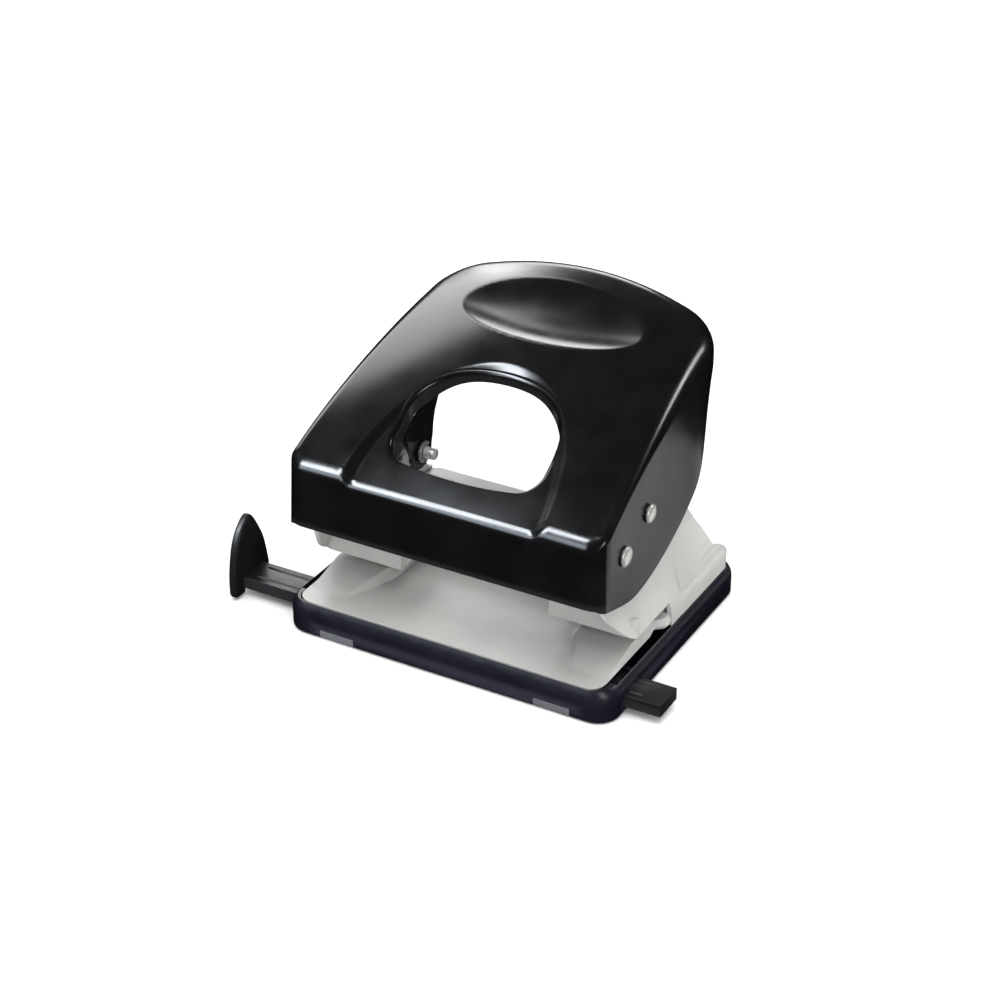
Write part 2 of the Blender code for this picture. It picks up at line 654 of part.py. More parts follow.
def make_frame_right():
    """One side of the punching frame: wall with the pivot ear, lower guide plate with a lip, and a foot."""
    frame = frame_wall()
    bend = 4.0
    corner = (58.9 - bend, FRAME_FRONT_Y + bend)
    path = [(FRAME_INNER_X, FRAME_FRONT_Y), (corner[0], FRAME_FRONT_Y)]
    path += arc(corner, bend, -90, -4, 6)[1:]
    lip = ribbon("frame_lip", path, 1.5, SLOT_TOP, LIP_TOP, "frame_grey")
    plate_outline = [(FRAME_INNER_X, FRAME_FRONT_Y + 0.7), (corner[0], FRAME_FRONT_Y + 0.7)]
    plate_outline += arc(corner, bend - 0.7, -90, -4, 5)[1:]
    plate_outline += [(58.1, -1.5), (FRAME_INNER_X, -1.5)]
    plate = prism("frame_guide_plate", plate_outline, SLOT_TOP + 0.01, SLOT_TOP + 1.5, "Z", "frame_grey")
    foot_outline = [(43.0, 4.0), (55.6, 4.0), (55.6, 36.0), (43.0, 36.0)]
    foot = prism("frame_foot", foot_outline, DECK_Z + FIT, DECK_Z + 1.8, "Z", "frame_grey")
    join(frame, lip, plate, foot)
    shaft = (PUNCH_X, PUNCH_Y)
    cut(frame, rod("guide_hole", PUNCH_R + RUN, 18, 25, "Z", shaft, ROUND, "pin_steel"))
    cut(frame, rod("ear_hole", 2.5 + RUN, 48, 60, "X", (PIVOT_Y, PIVOT_Z), ROUND, "pin_steel"))
    for y in FOOT_RIVETS_Y:
        cut(frame, rod("foot_hole", 1.8, 18, 25, "Z", (FOOT_RIVET_X, y), 12, "pin_steel"))
    for y in GUIDE_RIVETS_Y:
        cut(frame, rod("wall_hole", 1.4, 48, 60, "X", (y, GUIDE_RIVET_Z), 12, "pin_steel"))
    return frame


def make_upper_guide_right():
    """The bracket inside the frame that keeps the punch upright and carries its spring."""
    section = [(33.5, UPPER_GUIDE_Z), (50.6, UPPER_GUIDE_Z), (51.5, UPPER_GUIDE_Z + 0.9), (51.5, 45.4)]
    section += [(50.0, 45.4), (50.0, UPPER_GUIDE_Z + 1.5), (33.5, UPPER_GUIDE_Z + 1.5)]
    guide = prism("upper_guide_right", section, -20.5, -3.5, "Y", "frame_grey")
    cut(guide, rod("shaft_hole", PUNCH_R + RUN, 33, 40, "Z", (PUNCH_X, PUNCH_Y), ROUND, "pin_steel"))
    for y in GUIDE_RIVETS_Y:
        cut(guide, rod("leg_hole", 1.4, 48, 60, "X", (y, GUIDE_RIVET_Z), 12, "pin_steel"))
    return guide


# ---------------------------------------------------------------- punches, springs, pins
COLLAR_Z = 53.2
HEAD_TOP = 66.4
SPRING_WIRE_R, SPRING_COIL_R, SPRING_TURNS = 0.5, 4.1, 6
SPRING_LOW = UPPER_GUIDE_Z + 1.5 + FIT


def make_punch_right():
    """Punch: ground shaft with a notched cutting end, spring collar, and a slotted head for the drive pin."""
    tip = SLOT_TOP + 0.3
    centre = (PUNCH_X, PUNCH_Y)
    collar_top = COLLAR_Z + 1.4
    profile = [(0, tip), (PUNCH_R, tip), (PUNCH_R, COLLAR_Z), (5.2, COLLAR_Z), (5.2, collar_top), (0, collar_top)]
    punch = turned("punch_right", profile, "Z", centre, ROUND, "tool_steel")
    head_outline = rounded_rectangle(4.0, 6.5, 1.5, 2)
    head_outline = [(PUNCH_X + x, PUNCH_Y + y) for x, y in head_outline]
    join(punch, prism("punch_head", head_outline, COLLAR_Z + 0.7, HEAD_TOP, "Z", "pin_steel"))
    slot = arc((DRIVE_Y + 1.9, DRIVE_Z), 2.0 + 0.25, -90, 90, 6)
    slot += arc((DRIVE_Y - 0.6, DRIVE_Z), 2.0 + 0.25, 90, 270, 6)
    cut(punch, prism("drive_slot", slot, 30, 50, "X", "pin_steel"))
    notch = [(PUNCH_Y - 3.5, tip - 1), (PUNCH_Y + 3.5, tip - 1), (PUNCH_Y, tip + 1.6)]
    cut(punch, prism("tip_notch", notch, PUNCH_X - 4, PUNCH_X + 4, "X", "pin_steel"))
    return punch


def make_spring_right():
    """Compression spring between the upper guide and the punch's collar, with closed ends."""
    per_turn, sides = 12, 6
    low, high = SPRING_LOW + SPRING_WIRE_R, COLLAR_Z - FIT - SPRING_WIRE_R
    steps = SPRING_TURNS * per_turn
    rings = []
    for i in range(steps + 1):
        t = i / steps
        angle = 2 * math.pi * SPRING_TURNS * t
        rise = ramp(t, 0.14, 0.86)
        closed = 2 * SPRING_WIRE_R * 1.06 * (ramp(t, 0, 0.14) + ramp(t, 0.86, 1.0))
        z = low + closed + (high - low - 4 * SPRING_WIRE_R * 1.06) * rise
        out = Vector((math.cos(angle), math.sin(angle), 0))
        spine = Vector((PUNCH_X, PUNCH_Y, z)) + out * SPRING_COIL_R
        ring = []
        for k in range(sides):
            turn = 2 * math.pi * k / sides
            ring.append(spine + (out * math.cos(turn) + Vector((0, 0, math.sin(turn)))) * SPRING_WIRE_R)
        rings.append(ring)
    points = [tuple(p) for ring in rings for p in ring]
    faces = [tuple(range(sides)), tuple(range(steps * sides, (steps + 1) * sides))]
    for i in range(steps):
        for k in range(sides):
            n = (k + 1) % sides
            faces.append((i * sides + k, i * sides + n, (i + 1) * sides + n, (i + 1) * sides + k))
    return add_object("return_spring_right", points, faces, "spring_steel")


def headed_pin(name, radius, head_radius, centre, inner_x, groove_x, head):
    """A pin along X with a domed head outside the handle and a groove for a retaining ring inside."""
    profile = [
        (0, inner_x), (radius - 0.3, inner_x), (radius, inner_x + 0.3), (radius, groove_x),
        (radius - 0.5, groove_x), (radius - 0.5, groove_x + 1.0), (radius, groove_x + 1.0),
        (radius, head), (head_radius, head), (head_radius, head + 0.5),
        (head_radius * 0.7, head + 1.1), (0, head + 1.4),
    ]
    return turned(name, profile, "X", centre, ROUND, "pin_steel")


def retaining_ring(name, shaft_radius, centre, low):
    """A C-shaped ring snapped into a pin's groove."""
    inner, outer = shaft_radius - 0.5 + 0.12, shaft_radius + 1.7
    outline = arc(centre, outer, 40, 320, 14) + arc(centre, inner, 320, 40, 14)
    return prism(name, outline, low, low + 0.7, "X", "spring_steel")


def washer(name, centre, low, high, inner, outer):
    ring = rod(name, outer, low, high, "X", centre, ROUND, "washer_plastic")
    cut(ring, rod("washer_hole", inner, low - 1, high + 1, "X", centre, ROUND, "pin_steel"))
    return ring


def rivet(name, axis, centre, low, high, radius, head_radius):
    """A rivet with a domed head at its high end and a flat set head at its low end."""
    profile = [
        (0, low - 0.7), (head_radius - 0.4, low - 0.7), (head_radius, low), (radius, low), (radius, high),
        (head_radius, high), (head_radius * 0.75, high + 0.6), (0, high + 0.85),
    ]
    return turned(name, profile, axis, centre, 12, "pin_steel")


# ---------------------------------------------------------------- paper guide bar
STOP_THICKNESS = 3.0
STOP_OUTLINE = [
    (-40.0, 0.6), (-40.7, 2.0), (-40.7, 8.4), (-40.0, 13.5), (-38.9, 18.4), (-37.6, 21.8), (-35.6, 25.0),
    (-33.2, 27.3), (-31.2, 28.6), (-29.8, 28.9), (-28.6, 28.1), (-27.2, 26.2), (-25.6, 23.4), (-23.9, 20.2),
    (-22.4, 16.6), (-21.2, 11.7), (-20.0, 5.4), (-20.4, 4.2), (-24.0, BAR_Z0), (-34.4, BAR_Z0), (-34.9, 0.6),
]
TOOTH_PITCH, TOOTH_DEPTH = 6.0, 0.7


def make_guide_bar():
    """The sliding ruler with its upright stop at the left end and detent notches along its rear edge."""
    top, chamfer = BAR_Z1, 0.5
    section = [(BAR_Y0, BAR_Z0), (BAR_Y1, BAR_Z0), (BAR_Y1, top - chamfer), (BAR_Y1 - chamfer, top)]
    section += [(BAR_Y0 + chamfer, top), (BAR_Y0, top - chamfer)]
    bar = prism("guide_bar", section, BAR_LEFT - 2, BAR_RIGHT, "X", "bar_plastic")
    stop = prism("stop_blade", STOP_OUTLINE, BAR_LEFT - STOP_THICKNESS, BAR_LEFT, "X", "bar_plastic")
    join(bar, stop)
    first = BAR_LEFT + 26
    teeth = int((BAR_RIGHT - 8 - first) / TOOTH_PITCH)
    comb = []
    for i in range(teeth):
        x = first + i * TOOTH_PITCH
        comb += [(x, BAR_Y1 + 1), (x, BAR_Y1), (x + 1, BAR_Y1 - TOOTH_DEPTH)]
        comb += [(x + 2, BAR_Y1), (x + 2, BAR_Y1 + 1)]
    end = first + teeth * TOOTH_PITCH
    comb += [(end, BAR_Y1 + 1), (end, BAR_Y1 + 2), (first, BAR_Y1 + 2)]
    cut(bar, prism("notch_comb", comb, BAR_Z0 - 1, BAR_Z1 + 1, "Z", "bar_plastic"))
    groove_front, groove_rear = (BAR_Y0 + 2.2, BAR_Y0 + 3.2), (BAR_Y1 - 3.2, BAR_Y1 - 2.2)
    for low, high in (groove_front, groove_rear):
        groove_low, groove_high = (BAR_LEFT + 4, low, top - 0.4), (BAR_RIGHT - 8, high, top + 1)
        cut(bar, box("bar_groove", groove_low, groove_high, "bar_plastic"))
    return bar


# ---------------------------------------------------------------- assembly
def main():
    clear_scene()
    make_handle()
    make_base_plate()
    make_chip_tray()
    for end_name, end in (("front", -1), ("rear", 1)):
        for side_name, side in (("left", -1), ("right", 1)):
            make_foot(f"rubber_foot_{end_name}_{side_name}", side, end)
    right_pieces = [
        make_frame_right(),
        make_upper_guide_right(),
        make_punch_right(),
        make_spring_right(),
        make_drive_lug_right(),
        headed_pin("pivot_pin_right", 2.5, 3.4, (PIVOT_Y, PIVOT_Z), 49.9, 50.5, 57.7),
        headed_pin("drive_pin_right", 2.0, 3.1, (DRIVE_Y, DRIVE_Z), 20.6, 24.4, 57.1),
        retaining_ring("pivot_ring_right", 2.5, (PIVOT_Y, PIVOT_Z), 50.65),
        retaining_ring("drive_ring_right", 2.0, (DRIVE_Y, DRIVE_Z), 24.55),
        washer("pivot_washer_right", (PIVOT_Y, PIVOT_Z), 53.7, 54.5, 2.5 + RUN, 5.4),
    ]
    for number, y in enumerate(FOOT_RIVETS_Y, 1):
        centre = (FOOT_RIVET_X, y)
        low, high = DECK_Z - SHEET - FIT, DECK_Z + 1.8 + FIT
        right_pieces.append(rivet(f"base_rivet_right_{number}", "Z", centre, low, high, 1.5, 2.9))
    for number, y in enumerate(GUIDE_RIVETS_Y, 1):
        centre = (y, GUIDE_RIVET_Z)
        low, high = 50.0 - FIT, 53.4 + FIT
        right_pieces.append(rivet(f"guide_rivet_right_{number}", "X", centre, low, high, 1.1, 2.1))
    for piece in right_pieces:
        mirrored(piece, piece.name.replace("right", "left"))
    make_guide_bar()


main()
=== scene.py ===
"""Looks of the two-hole desk punch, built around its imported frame.

Lengths are millimetres, scaled by MM as each mesh is made. Lights, camera and floor are placed in metres.
Places are read from the frame's boxes. +X is the user's right, -Y the side where paper goes in, +Z up.
"""

import math

import bmesh
import bpy
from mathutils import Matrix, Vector


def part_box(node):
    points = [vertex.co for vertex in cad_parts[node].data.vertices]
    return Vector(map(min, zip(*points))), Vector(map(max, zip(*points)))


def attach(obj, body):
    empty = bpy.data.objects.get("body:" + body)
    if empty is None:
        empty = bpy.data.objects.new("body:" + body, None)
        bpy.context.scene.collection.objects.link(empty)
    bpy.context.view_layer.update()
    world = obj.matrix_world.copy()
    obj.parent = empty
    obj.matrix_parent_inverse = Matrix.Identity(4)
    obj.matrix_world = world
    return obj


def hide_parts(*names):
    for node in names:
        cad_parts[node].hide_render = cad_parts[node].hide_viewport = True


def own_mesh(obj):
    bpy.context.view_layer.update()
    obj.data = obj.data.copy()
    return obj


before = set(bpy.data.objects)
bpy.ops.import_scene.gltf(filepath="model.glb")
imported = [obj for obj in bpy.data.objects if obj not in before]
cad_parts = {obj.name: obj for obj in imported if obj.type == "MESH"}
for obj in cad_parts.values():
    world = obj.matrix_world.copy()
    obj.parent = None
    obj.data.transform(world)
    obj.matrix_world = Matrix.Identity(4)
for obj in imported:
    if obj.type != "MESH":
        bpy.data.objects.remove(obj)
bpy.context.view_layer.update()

MM = 0.001


def box_mm(node):
    low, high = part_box(node)
    return low / MM, high / MM


def middle(node):
    low, high = box_mm(node)
    return (low + high) / 2


# Places taken from the frame
PUNCH_X, PUNCH_Y = middle("punch_right")[:2]
PIVOT = middle("pivot_pin_right").yz
DRIVE = middle("drive_pin_right").yz
DECK_Z = box_mm("base_plate")[1].z
TRAY_LOW, TRAY_HIGH = box_mm("chip_tray")
BAR_LOW, BAR_HIGH = box_mm("guide_bar")

# Sizes that the solids share
SHEET = 1.2
HANDLE_HALF_W, HANDLE_FRONT_Y = 57.8, -46.6
PLATE_Z, PLATFORM_Z, SLOT_TOP = 12.2, 16.0, 20.8
FIT = 0.3
PIVOT_HOLE_R, DRIVE_HOLE_R, PUNCH_HOLE_R = 2.6, 2.1, 2.85
BASE_RIVET_HOLE_R, GUIDE_RIVET_HOLE_R = 1.8, 1.4
GUIDE_SHEET, GUIDE_TOP_Z, COLLAR_Z = 1.5, 37.8, 53.2


# ---- materials
# The second range is the pointiness band over which the painted edge highlight fades in.
MOTTLE_RANGE, EDGE_HIGHLIGHT_RANGE = (0.42, 0.62), (0.54, 0.64)


class Finish:
    """Builds one procedural material: every pattern is laid in object space, in metres."""

    def __init__(self, name, colour, roughness, metallic=0.0, level=0.5):
        self.material = bpy.data.materials.new(name)
        self.material.use_nodes = True
        self.tree = self.material.node_tree
        self.shader = self.tree.nodes["Principled BSDF"]
        self.roughness = roughness
        self.shader.inputs["Base Color"].default_value = (*colour, 1.0)
        for key, value in (("Roughness", roughness), ("Metallic", metallic), ("Specular IOR Level", level)):
            self.shader.inputs[key].default_value = value
        self.place = self.node("ShaderNodeTexCoord").outputs["Object"]
        self.height = None

    def node(self, kind, **values):
        made = self.tree.nodes.new(kind)
        for key, value in values.items():
            setattr(made, key, value)
        return made

    def link(self, source, target):
        self.tree.links.new(source, target)

    def noise(self, scale, detail=2.0, stretch=(1, 1, 1)):
        mapping = self.node("ShaderNodeMapping")
        mapping.inputs["Scale"].default_value = stretch
        self.link(self.place, mapping.inputs["Vector"])
        noise = self.node("ShaderNodeTexNoise")
        noise.inputs["Scale"].default_value = scale
        noise.inputs["Detail"].default_value = detail
        self.link(mapping.outputs["Vector"], noise.inputs["Vector"])
        return noise.outputs["Fac"]

    def spread(self, value, low, high, start=0.3, end=0.7):
        """Maps a pattern's start..end to low..high."""
        spread = self.node("ShaderNodeMapRange")
        for key, number in (("From Min", start), ("From Max", end), ("To Min", low), ("To Max", high)):
            spread.inputs[key].default_value = number
        self.link(value, spread.inputs["Value"])
        return spread.outputs["Result"]

    def uneven_gloss(self, scale, amount, stretch=(1, 1, 1)):
        pattern = self.noise(scale, 4.0, stretch)
        gloss = self.spread(pattern, self.roughness - amount, self.roughness + amount)
        self.link(gloss, self.shader.inputs["Roughness"])
        return self

    def bumpy(self, scale, strength, depth_mm, stretch=(1, 1, 1), detail=2.0):
        bump = self.node("ShaderNodeBump")
        bump.inputs["Strength"].default_value = strength
        bump.inputs["Distance"].default_value = depth_mm * MM
        self.link(self.noise(scale, detail, stretch), bump.inputs["Height"])
        if self.height:
            self.link(self.height, bump.inputs["Normal"])
        self.height = bump.outputs["Normal"]
        self.link(self.height, self.shader.inputs["Normal"])
        return self

    def mixed(self, factor, other):
        """Blends the colour so far with another where factor is 1."""
        mix = self.node("ShaderNodeMix", data_type="RGBA")
        socket = self.shader.inputs["Base Color"]
        if socket.links:
            self.link(socket.links[0].from_socket, mix.inputs["A"])
        else:
            mix.inputs["A"].default_value = socket.default_value
        mix.inputs["B"].default_value = (*other, 1.0)
        self.link(factor, mix.inputs["Factor"])
        self.link(mix.outputs["Result"], socket)
        return self

    def mottled(self, scale, other, amount=1.0):
        return self.mixed(self.spread(self.noise(scale, 5.0), 0.0, amount, *MOTTLE_RANGE), other)

    # Painted highlight: lightens the colour towards other along convex edges, where the mesh's pointiness is
    # high.
    def painted_edge_highlight(self, other, amount):
        geometry = self.node("ShaderNodeNewGeometry")
        edge = self.spread(geometry.outputs["Pointiness"], 0.0, amount, *EDGE_HIGHLIGHT_RANGE)
        return self.mixed(edge, other)


def build_finishes():
    """One finish for each of the record's material slots."""
    # In the black, grey, tray and bar finishes, the last colour given is a painted highlight on convex edges.
    black = Finish("gloss_black_enamel", (0.003, 0.003, 0.0034), 0.2, level=0.45)
    black.mottled(60, (0.0045, 0.0045, 0.005)).uneven_gloss(90, 0.03).bumpy(420, 0.05, 0.05)
    black.bumpy(2600, 0.03, 0.01).painted_edge_highlight((0.02, 0.02, 0.022), 0.5)

    grey = Finish("light_grey_enamel", (0.41, 0.405, 0.392), 0.42)
    grey.mottled(38, (0.375, 0.37, 0.36)).uneven_gloss(160, 0.06).bumpy(900, 0.08, 0.03)
    grey.bumpy(5200, 0.12, 0.008).painted_edge_highlight((0.56, 0.56, 0.55), 0.5)

    tray = Finish("navy_black_plastic", (0.006, 0.005, 0.012), 0.36)
    tray.mottled(70, (0.008, 0.007, 0.015)).uneven_gloss(220, 0.06).bumpy(3400, 0.35, 0.018)
    tray.painted_edge_highlight((0.035, 0.035, 0.055), 0.6)

    bar = Finish("black_plastic", (0.005, 0.005, 0.006), 0.38, level=0.3)
    bar.mottled(90, (0.008, 0.008, 0.009)).uneven_gloss(260, 0.05).bumpy(2600, 0.2, 0.012)
    bar.painted_edge_highlight((0.035, 0.035, 0.04), 0.5)

    rubber = Finish("grey_rubber", (0.11, 0.115, 0.13), 0.72, level=0.35)
    rubber.mottled(120, (0.09, 0.094, 0.106)).uneven_gloss(300, 0.08).bumpy(2100, 0.5, 0.03)

    nickel = Finish("nickel_plated_steel", (0.66, 0.65, 0.63), 0.3, 0.7)
    nickel.uneven_gloss(400, 0.06).bumpy(1400, 0.08, 0.01).mottled(150, (0.62, 0.61, 0.6))

    ground = Finish("ground_steel", (0.52, 0.52, 0.53), 0.3, 0.75)
    ground.uneven_gloss(500, 0.08, (1, 1, 8)).bumpy(900, 0.15, 0.01, (1, 1, 12))
    ground.mottled(140, (0.46, 0.46, 0.48))

    spring = Finish("drawn_spring_steel", (0.40, 0.41, 0.43), 0.3, 0.8)
    spring.uneven_gloss(700, 0.08).bumpy(2500, 0.15, 0.01).mottled(200, (0.3, 0.3, 0.33))

    nylon = Finish("natural_nylon", (0.72, 0.70, 0.64), 0.5, level=0.45)
    nylon.mottled(200, (0.66, 0.64, 0.58)).uneven_gloss(300, 0.06).bumpy(2600, 0.2, 0.01)

    return {
        "handle_black": black, "frame_grey": grey, "tray_plastic": tray, "bar_plastic": bar,
        "foot_rubber": rubber, "pin_steel": nickel, "tool_steel": ground, "spring_steel": spring,
        "washer_plastic": nylon,
    }


FINISHES = build_finishes()


# ---- mesh helpers
def linked(name, data):
    """A new object in the scene."""
    obj = bpy.data.objects.new(name, data)
    bpy.context.scene.collection.objects.link(obj)
    return obj


def add_object(name, points, faces):
    """A mesh object from points in millimetres, with its faces turned outwards."""
    mesh = bpy.data.meshes.new(name)
    mesh.from_pydata([Vector(p) * MM for p in points], [], faces)
    work = bmesh.new()
    work.from_mesh(mesh)
    bmesh.ops.recalc_face_normals(work, faces=work.faces)
    work.to_mesh(mesh)
    work.free()
    return linked(name, mesh)


def turned_to(axis, a, b, along):
    return {"X": (along, a, b), "Y": (a, along, b), "Z": (a, b, along)}[axis]


def band(first, second, count):
    """Faces between two rings of points, each ring given by the number of its first point."""
    return [(first + i, first + (i + 1) % count, second + (i + 1) % count, second + i) for i in range(count)]


def prism(name, outline, low, high, axis):
    count = len(outline)
    points = [turned_to(axis, a, b, low) for a, b in outline]
    points += [turned_to(axis, a, b, high) for a, b in outline]
    faces = [tuple(range(count)), tuple(range(count, 2 * count))] + band(0, count, count)
    return add_object(name, points, faces)


def block(name, low, high):
    outline = [(low[0], low[1]), (high[0], low[1]), (high[0], high[1]), (low[0], high[1])]
    return prism(name, outline, low[2], high[2], "Z")


def turned(name, profile, axis, centre, sides=64):
    """A solid of revolution: profile is (radius, distance along the axis), first and last on the axis."""
    points, rings = [], []
    for radius, along in profile:
        if radius == 0:
            rings.append([len(points)])
            points.append(turned_to(axis, *centre, along))
            continue
        rings.append(list(range(len(points), len(points) + sides)))
        for i in range(sides):
            angle = 2 * math.pi * i / sides
            a, b = centre[0] + radius * math.cos(angle), centre[1] + radius * math.sin(angle)
            points.append(turned_to(axis, a, b, along))
    faces = []
    for first, second in zip(rings, rings[1:]):
        for i in range(sides):
            j = (i + 1) % sides
            corners = [first[i % len(first)], first[j % len(first)]]
            corners += [second[j % len(second)], second[i % len(second)]]
            faces.append(tuple(dict.fromkeys(corners)))
    return add_object(name, points, faces)


def rod(name, radius, low, high, axis, centre, sides=64):
    return turned(name, [(0, low), (radius, low), (radius, high), (0, high)], axis, centre, sides)


def baked(obj):
    """Turns an object's modifiers into plain mesh."""
    graph = bpy.context.evaluated_depsgraph_get()
    mesh = bpy.data.meshes.new_from_object(obj.evaluated_get(graph))
    obj.modifiers.clear()
    obj.data = mesh
    return obj


def shaped(target, operation, *tools):
    """Applies Booleans and removes their tools."""
    for tool in tools:
        modifier = target.modifiers.new("shape", "BOOLEAN")
        modifier.operation = operation
        modifier.object = tool
    baked(target)
    for tool in tools:
        bpy.data.objects.remove(tool, do_unlink=True)
    return target


def cut(target, *tools):
    return shaped(target, "DIFFERENCE", *tools)


def rounded(obj, width, segments=3, angle=35):
    """Rounds an object's sharp edges and bakes them in."""
    bevel = obj.modifiers.new("edges", "BEVEL")
    bevel.width = width * MM
    bevel.segments = segments
    bevel.limit_method = "ANGLE"
    bevel.angle_limit = math.radians(angle)
    return baked(obj)


def merged(name, *parts):
    """One object from several finished shells."""
    work = bmesh.new()
    for part in parts:
        work.from_mesh(part.data)
        bpy.data.objects.remove(part, do_unlink=True)
    mesh = bpy.data.meshes.new(name)
    work.to_mesh(mesh)
    work.free()
    return linked(name, mesh)


def twin(obj, name):
    """The same piece on the other side of the YZ plane."""
    mesh = obj.data.copy()
    for vertex in mesh.vertices:
        vertex.co.x = -vertex.co.x
    mesh.flip_normals()
    return linked(name, mesh)


def finished(obj, slot, body, *nodes, smooth_angle=50):
    """Shades a piece, gives it its finish, puts it on its body and lets it stand for its nodes."""
    obj.data.materials.clear()
    obj.data.materials.append(FINISHES[slot].material)
    obj.data.shade_smooth()
    obj.data.set_sharp_from_angle(angle=math.radians(smooth_angle))
    shading = obj.modifiers.new("shading", "WEIGHTED_NORMAL")
    shading.keep_sharp = True
    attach(obj, body)
    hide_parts(*nodes)
    return obj


def both_sides(obj, node, slot, body, **options):
    """Finishes a right-hand piece and its left-hand twin. A body named with _right has its own twin too."""
    other = twin(obj, obj.name.replace("right", "left"))
    finished(obj, slot, body, node, **options)
    left_body = body.replace("right", "left")
    finished(other, slot, left_body, node.replace("right", "left"), **options)
    return obj, other


def arc(centre, radius, start, end, steps):
    """Points on an arc, angles in degrees, both ends included."""
    found = []
    for i in range(steps + 1):
        angle = math.radians(start + (end - start) * i / steps)
        found.append((centre[0] + radius * math.cos(angle), centre[1] + radius * math.sin(angle)))
    return found


def rounded_rectangle(half_x, half_y, radius, steps):
    found = []
    for quarter, (sx, sy) in enumerate([(1, 1), (-1, 1), (-1, -1), (1, -1)]):
        centre = (sx * (half_x - radius), sy * (half_y - radius))
        found += arc(centre, radius, 90 * quarter, 90 * quarter + 90, steps)
    return found


def ramp(value, low, high):
    """0 below low, 1 above high and a straight rise between."""
    return min(1.0, max(0.0, (value - low) / (high - low)))


def ease(value, low, high):
    """As ramp, with a smooth step between."""
    t = ramp(value, low, high)
    return t * t * (3 - 2 * t)


def through_points(table, value):
    """Smooth interpolation in a short table of (position, value) pairs."""
    if value <= table[0][0]:
        return table[0][1]
    for i in range(len(table) - 1):
        (x0, y0), (x1, y1) = table[i], table[i + 1]
        if value <= x1:
            before, after = table[max(i - 1, 0)], table[min(i + 2, len(table) - 1)]
            m0 = (y1 - before[1]) / (x1 - before[0])
            m1 = (after[1] - y0) / (after[0] - x0)
            span, t = x1 - x0, (value - x0) / (x1 - x0)
            h00, h10 = 2 * t**3 - 3 * t**2 + 1, t**3 - 2 * t**2 + t
            h01, h11 = -2 * t**3 + 3 * t**2, t**3 - t**2
            return h00 * y0 + h10 * span * m0 + h01 * y1 + h11 * span * m1
    return table[-1][1]


def subdivided(stops, steps):
    """Positions between stops, each interval divided into its own number of steps."""
    found = [stops[0]]
    for (a, b), count in zip(zip(stops, stops[1:]), steps):
        found += [a + (b - a) * (k + 1) / count for k in range(count)]
    return found


# ---- handle
EMBOSS_Y = -46.0
EMBOSS_A, EMBOSS_B, EMBOSS_DEPTH, EMBOSS_SLOPE = 37.0, 48.8, 2.2, 4.6
OPENING_HALF_W, OPENING_ARCH_Y, OPENING_ARCH_B = 28.6, -20.0, 20.2
OPENING_FRONT_Y, OPENING_BOW, OPENING_CORNER_R = -37.5, 2.2, 7.0
OPENING_CENTRE = Vector((0.0, -21.0))
OPENING_BOW_X = 24.0
DISH_Y, DISH_A, DISH_B, DISH_DEPTH, DISH_FULLNESS = 28.0, 33.0, 15.5, 3.2, 2.6
FACE_FRONT_Z, FACE_SLOPE, FACE_SAG, CROWN_HALF_W = 64.8, 0.575, 0.0026, 54.0
CORNER_R = 6.2
SKIRT_CORNERS = [  # x, y, corner radius, steps
    (HANDLE_HALF_W, HANDLE_FRONT_Y, CORNER_R, 12), (51.6, 53.5, 20.0, 24), (0.0, 63.4, 190.0, 30),
]
BEND_SIDE, BEND_SIDE_REAR, BEND_FRONT, BEND_FRONT_ENDS, BEND_REAR = 2.6, 8.0, 4.6, 6.4, 7.0
CROWN = [(-46.0, 0.2), (-25.0, 2.6), (0.0, 5.6), (20.0, 7.6), (40.0, 8.8), (60.0, 9.4)]
SKIRT_LOW = [
    (-46.6, 42.0), (-36.0, 38.6), (-25.0, 36.2), (-14.0, 37.4), (-2.0, 41.2), (9.0, 46.4), (15.0, 50.2),
    (22.0, 55.5), (28.0, 60.8), (33.0, 67.5), (37.0, 76.0), (41.0, 83.5), (48.0, 88.0), (60.0, 89.5),
]
LIP_IN, LIP_DROP, EAR_FLANGE = 1.6, 1.9, 4.2
LIP_DEPTH_FRONT, LIP_DEPTH_GAIN, LIP_DEPTH_LOSS = 3.0, 3.5, 2.3
COLUMN_STEP = 1.3
LIP_STEPS, INNER_STEPS, SLOPE_STEPS, OUTER_STEPS, BEND_STEPS, SKIRT_STEPS = 6, 12, 10, 44, 8, 12


def panel_margin(x, y):
    """How far a place lies inside the pressed panel's border: negative outside it, infinite at its centre."""
    reach = max(y - EMBOSS_Y, 0)
    q = math.hypot(x / EMBOSS_A, reach / EMBOSS_B)
    return math.hypot(x, reach) * (1 / q - 1) if q else math.inf


def face_height(x, y):
    """Height of the handle's outer face, with the pressed panel and the palm dish."""
    back = y - EMBOSS_Y
    ridge = FACE_FRONT_Z + FACE_SLOPE * back - FACE_SAG * back * back
    height = ridge + through_points(CROWN, y) * (1 - (x / CROWN_HALF_W) ** 2)
    height -= EMBOSS_DEPTH * ease(panel_margin(x, y), 0, EMBOSS_SLOPE)
    dish = math.hypot(x / DISH_A, (y - DISH_Y) / DISH_B)
    if dish < 1:
        height -= DISH_DEPTH * (1 - dish**DISH_FULLNESS)
    return height


def outer_outline():
    """Plan of the handle's skirt, anticlockwise from the right front corner: points with outward normals."""
    corners = SKIRT_CORNERS + [(-x, *rest) for x, *rest in SKIRT_CORNERS[1::-1]]
    points = [Vector(corner[:2]) for corner in corners]
    found = []
    for i, (_, _, radius, steps) in enumerate(corners):
        before = (points[i - 1] - points[i]).normalized()
        after = (points[(i + 1) % len(points)] - points[i]).normalized()
        half = before.angle(after) / 2
        centre = points[i] + (before + after).normalized() * (radius / math.sin(half))
        reach = radius / math.tan(half)
        start, end = points[i] + before * reach - centre, points[i] + after * reach - centre
        turn = start.angle_signed(end)
        for k in range(steps + 1):
            angle = -turn * k / steps
            spoke = Vector((
                start.x * math.cos(angle) - start.y * math.sin(angle),
                start.x * math.sin(angle) + start.y * math.cos(angle),
            ))
            found.append((centre + spoke, spoke.normalized()))
    return with_even_runs(found)


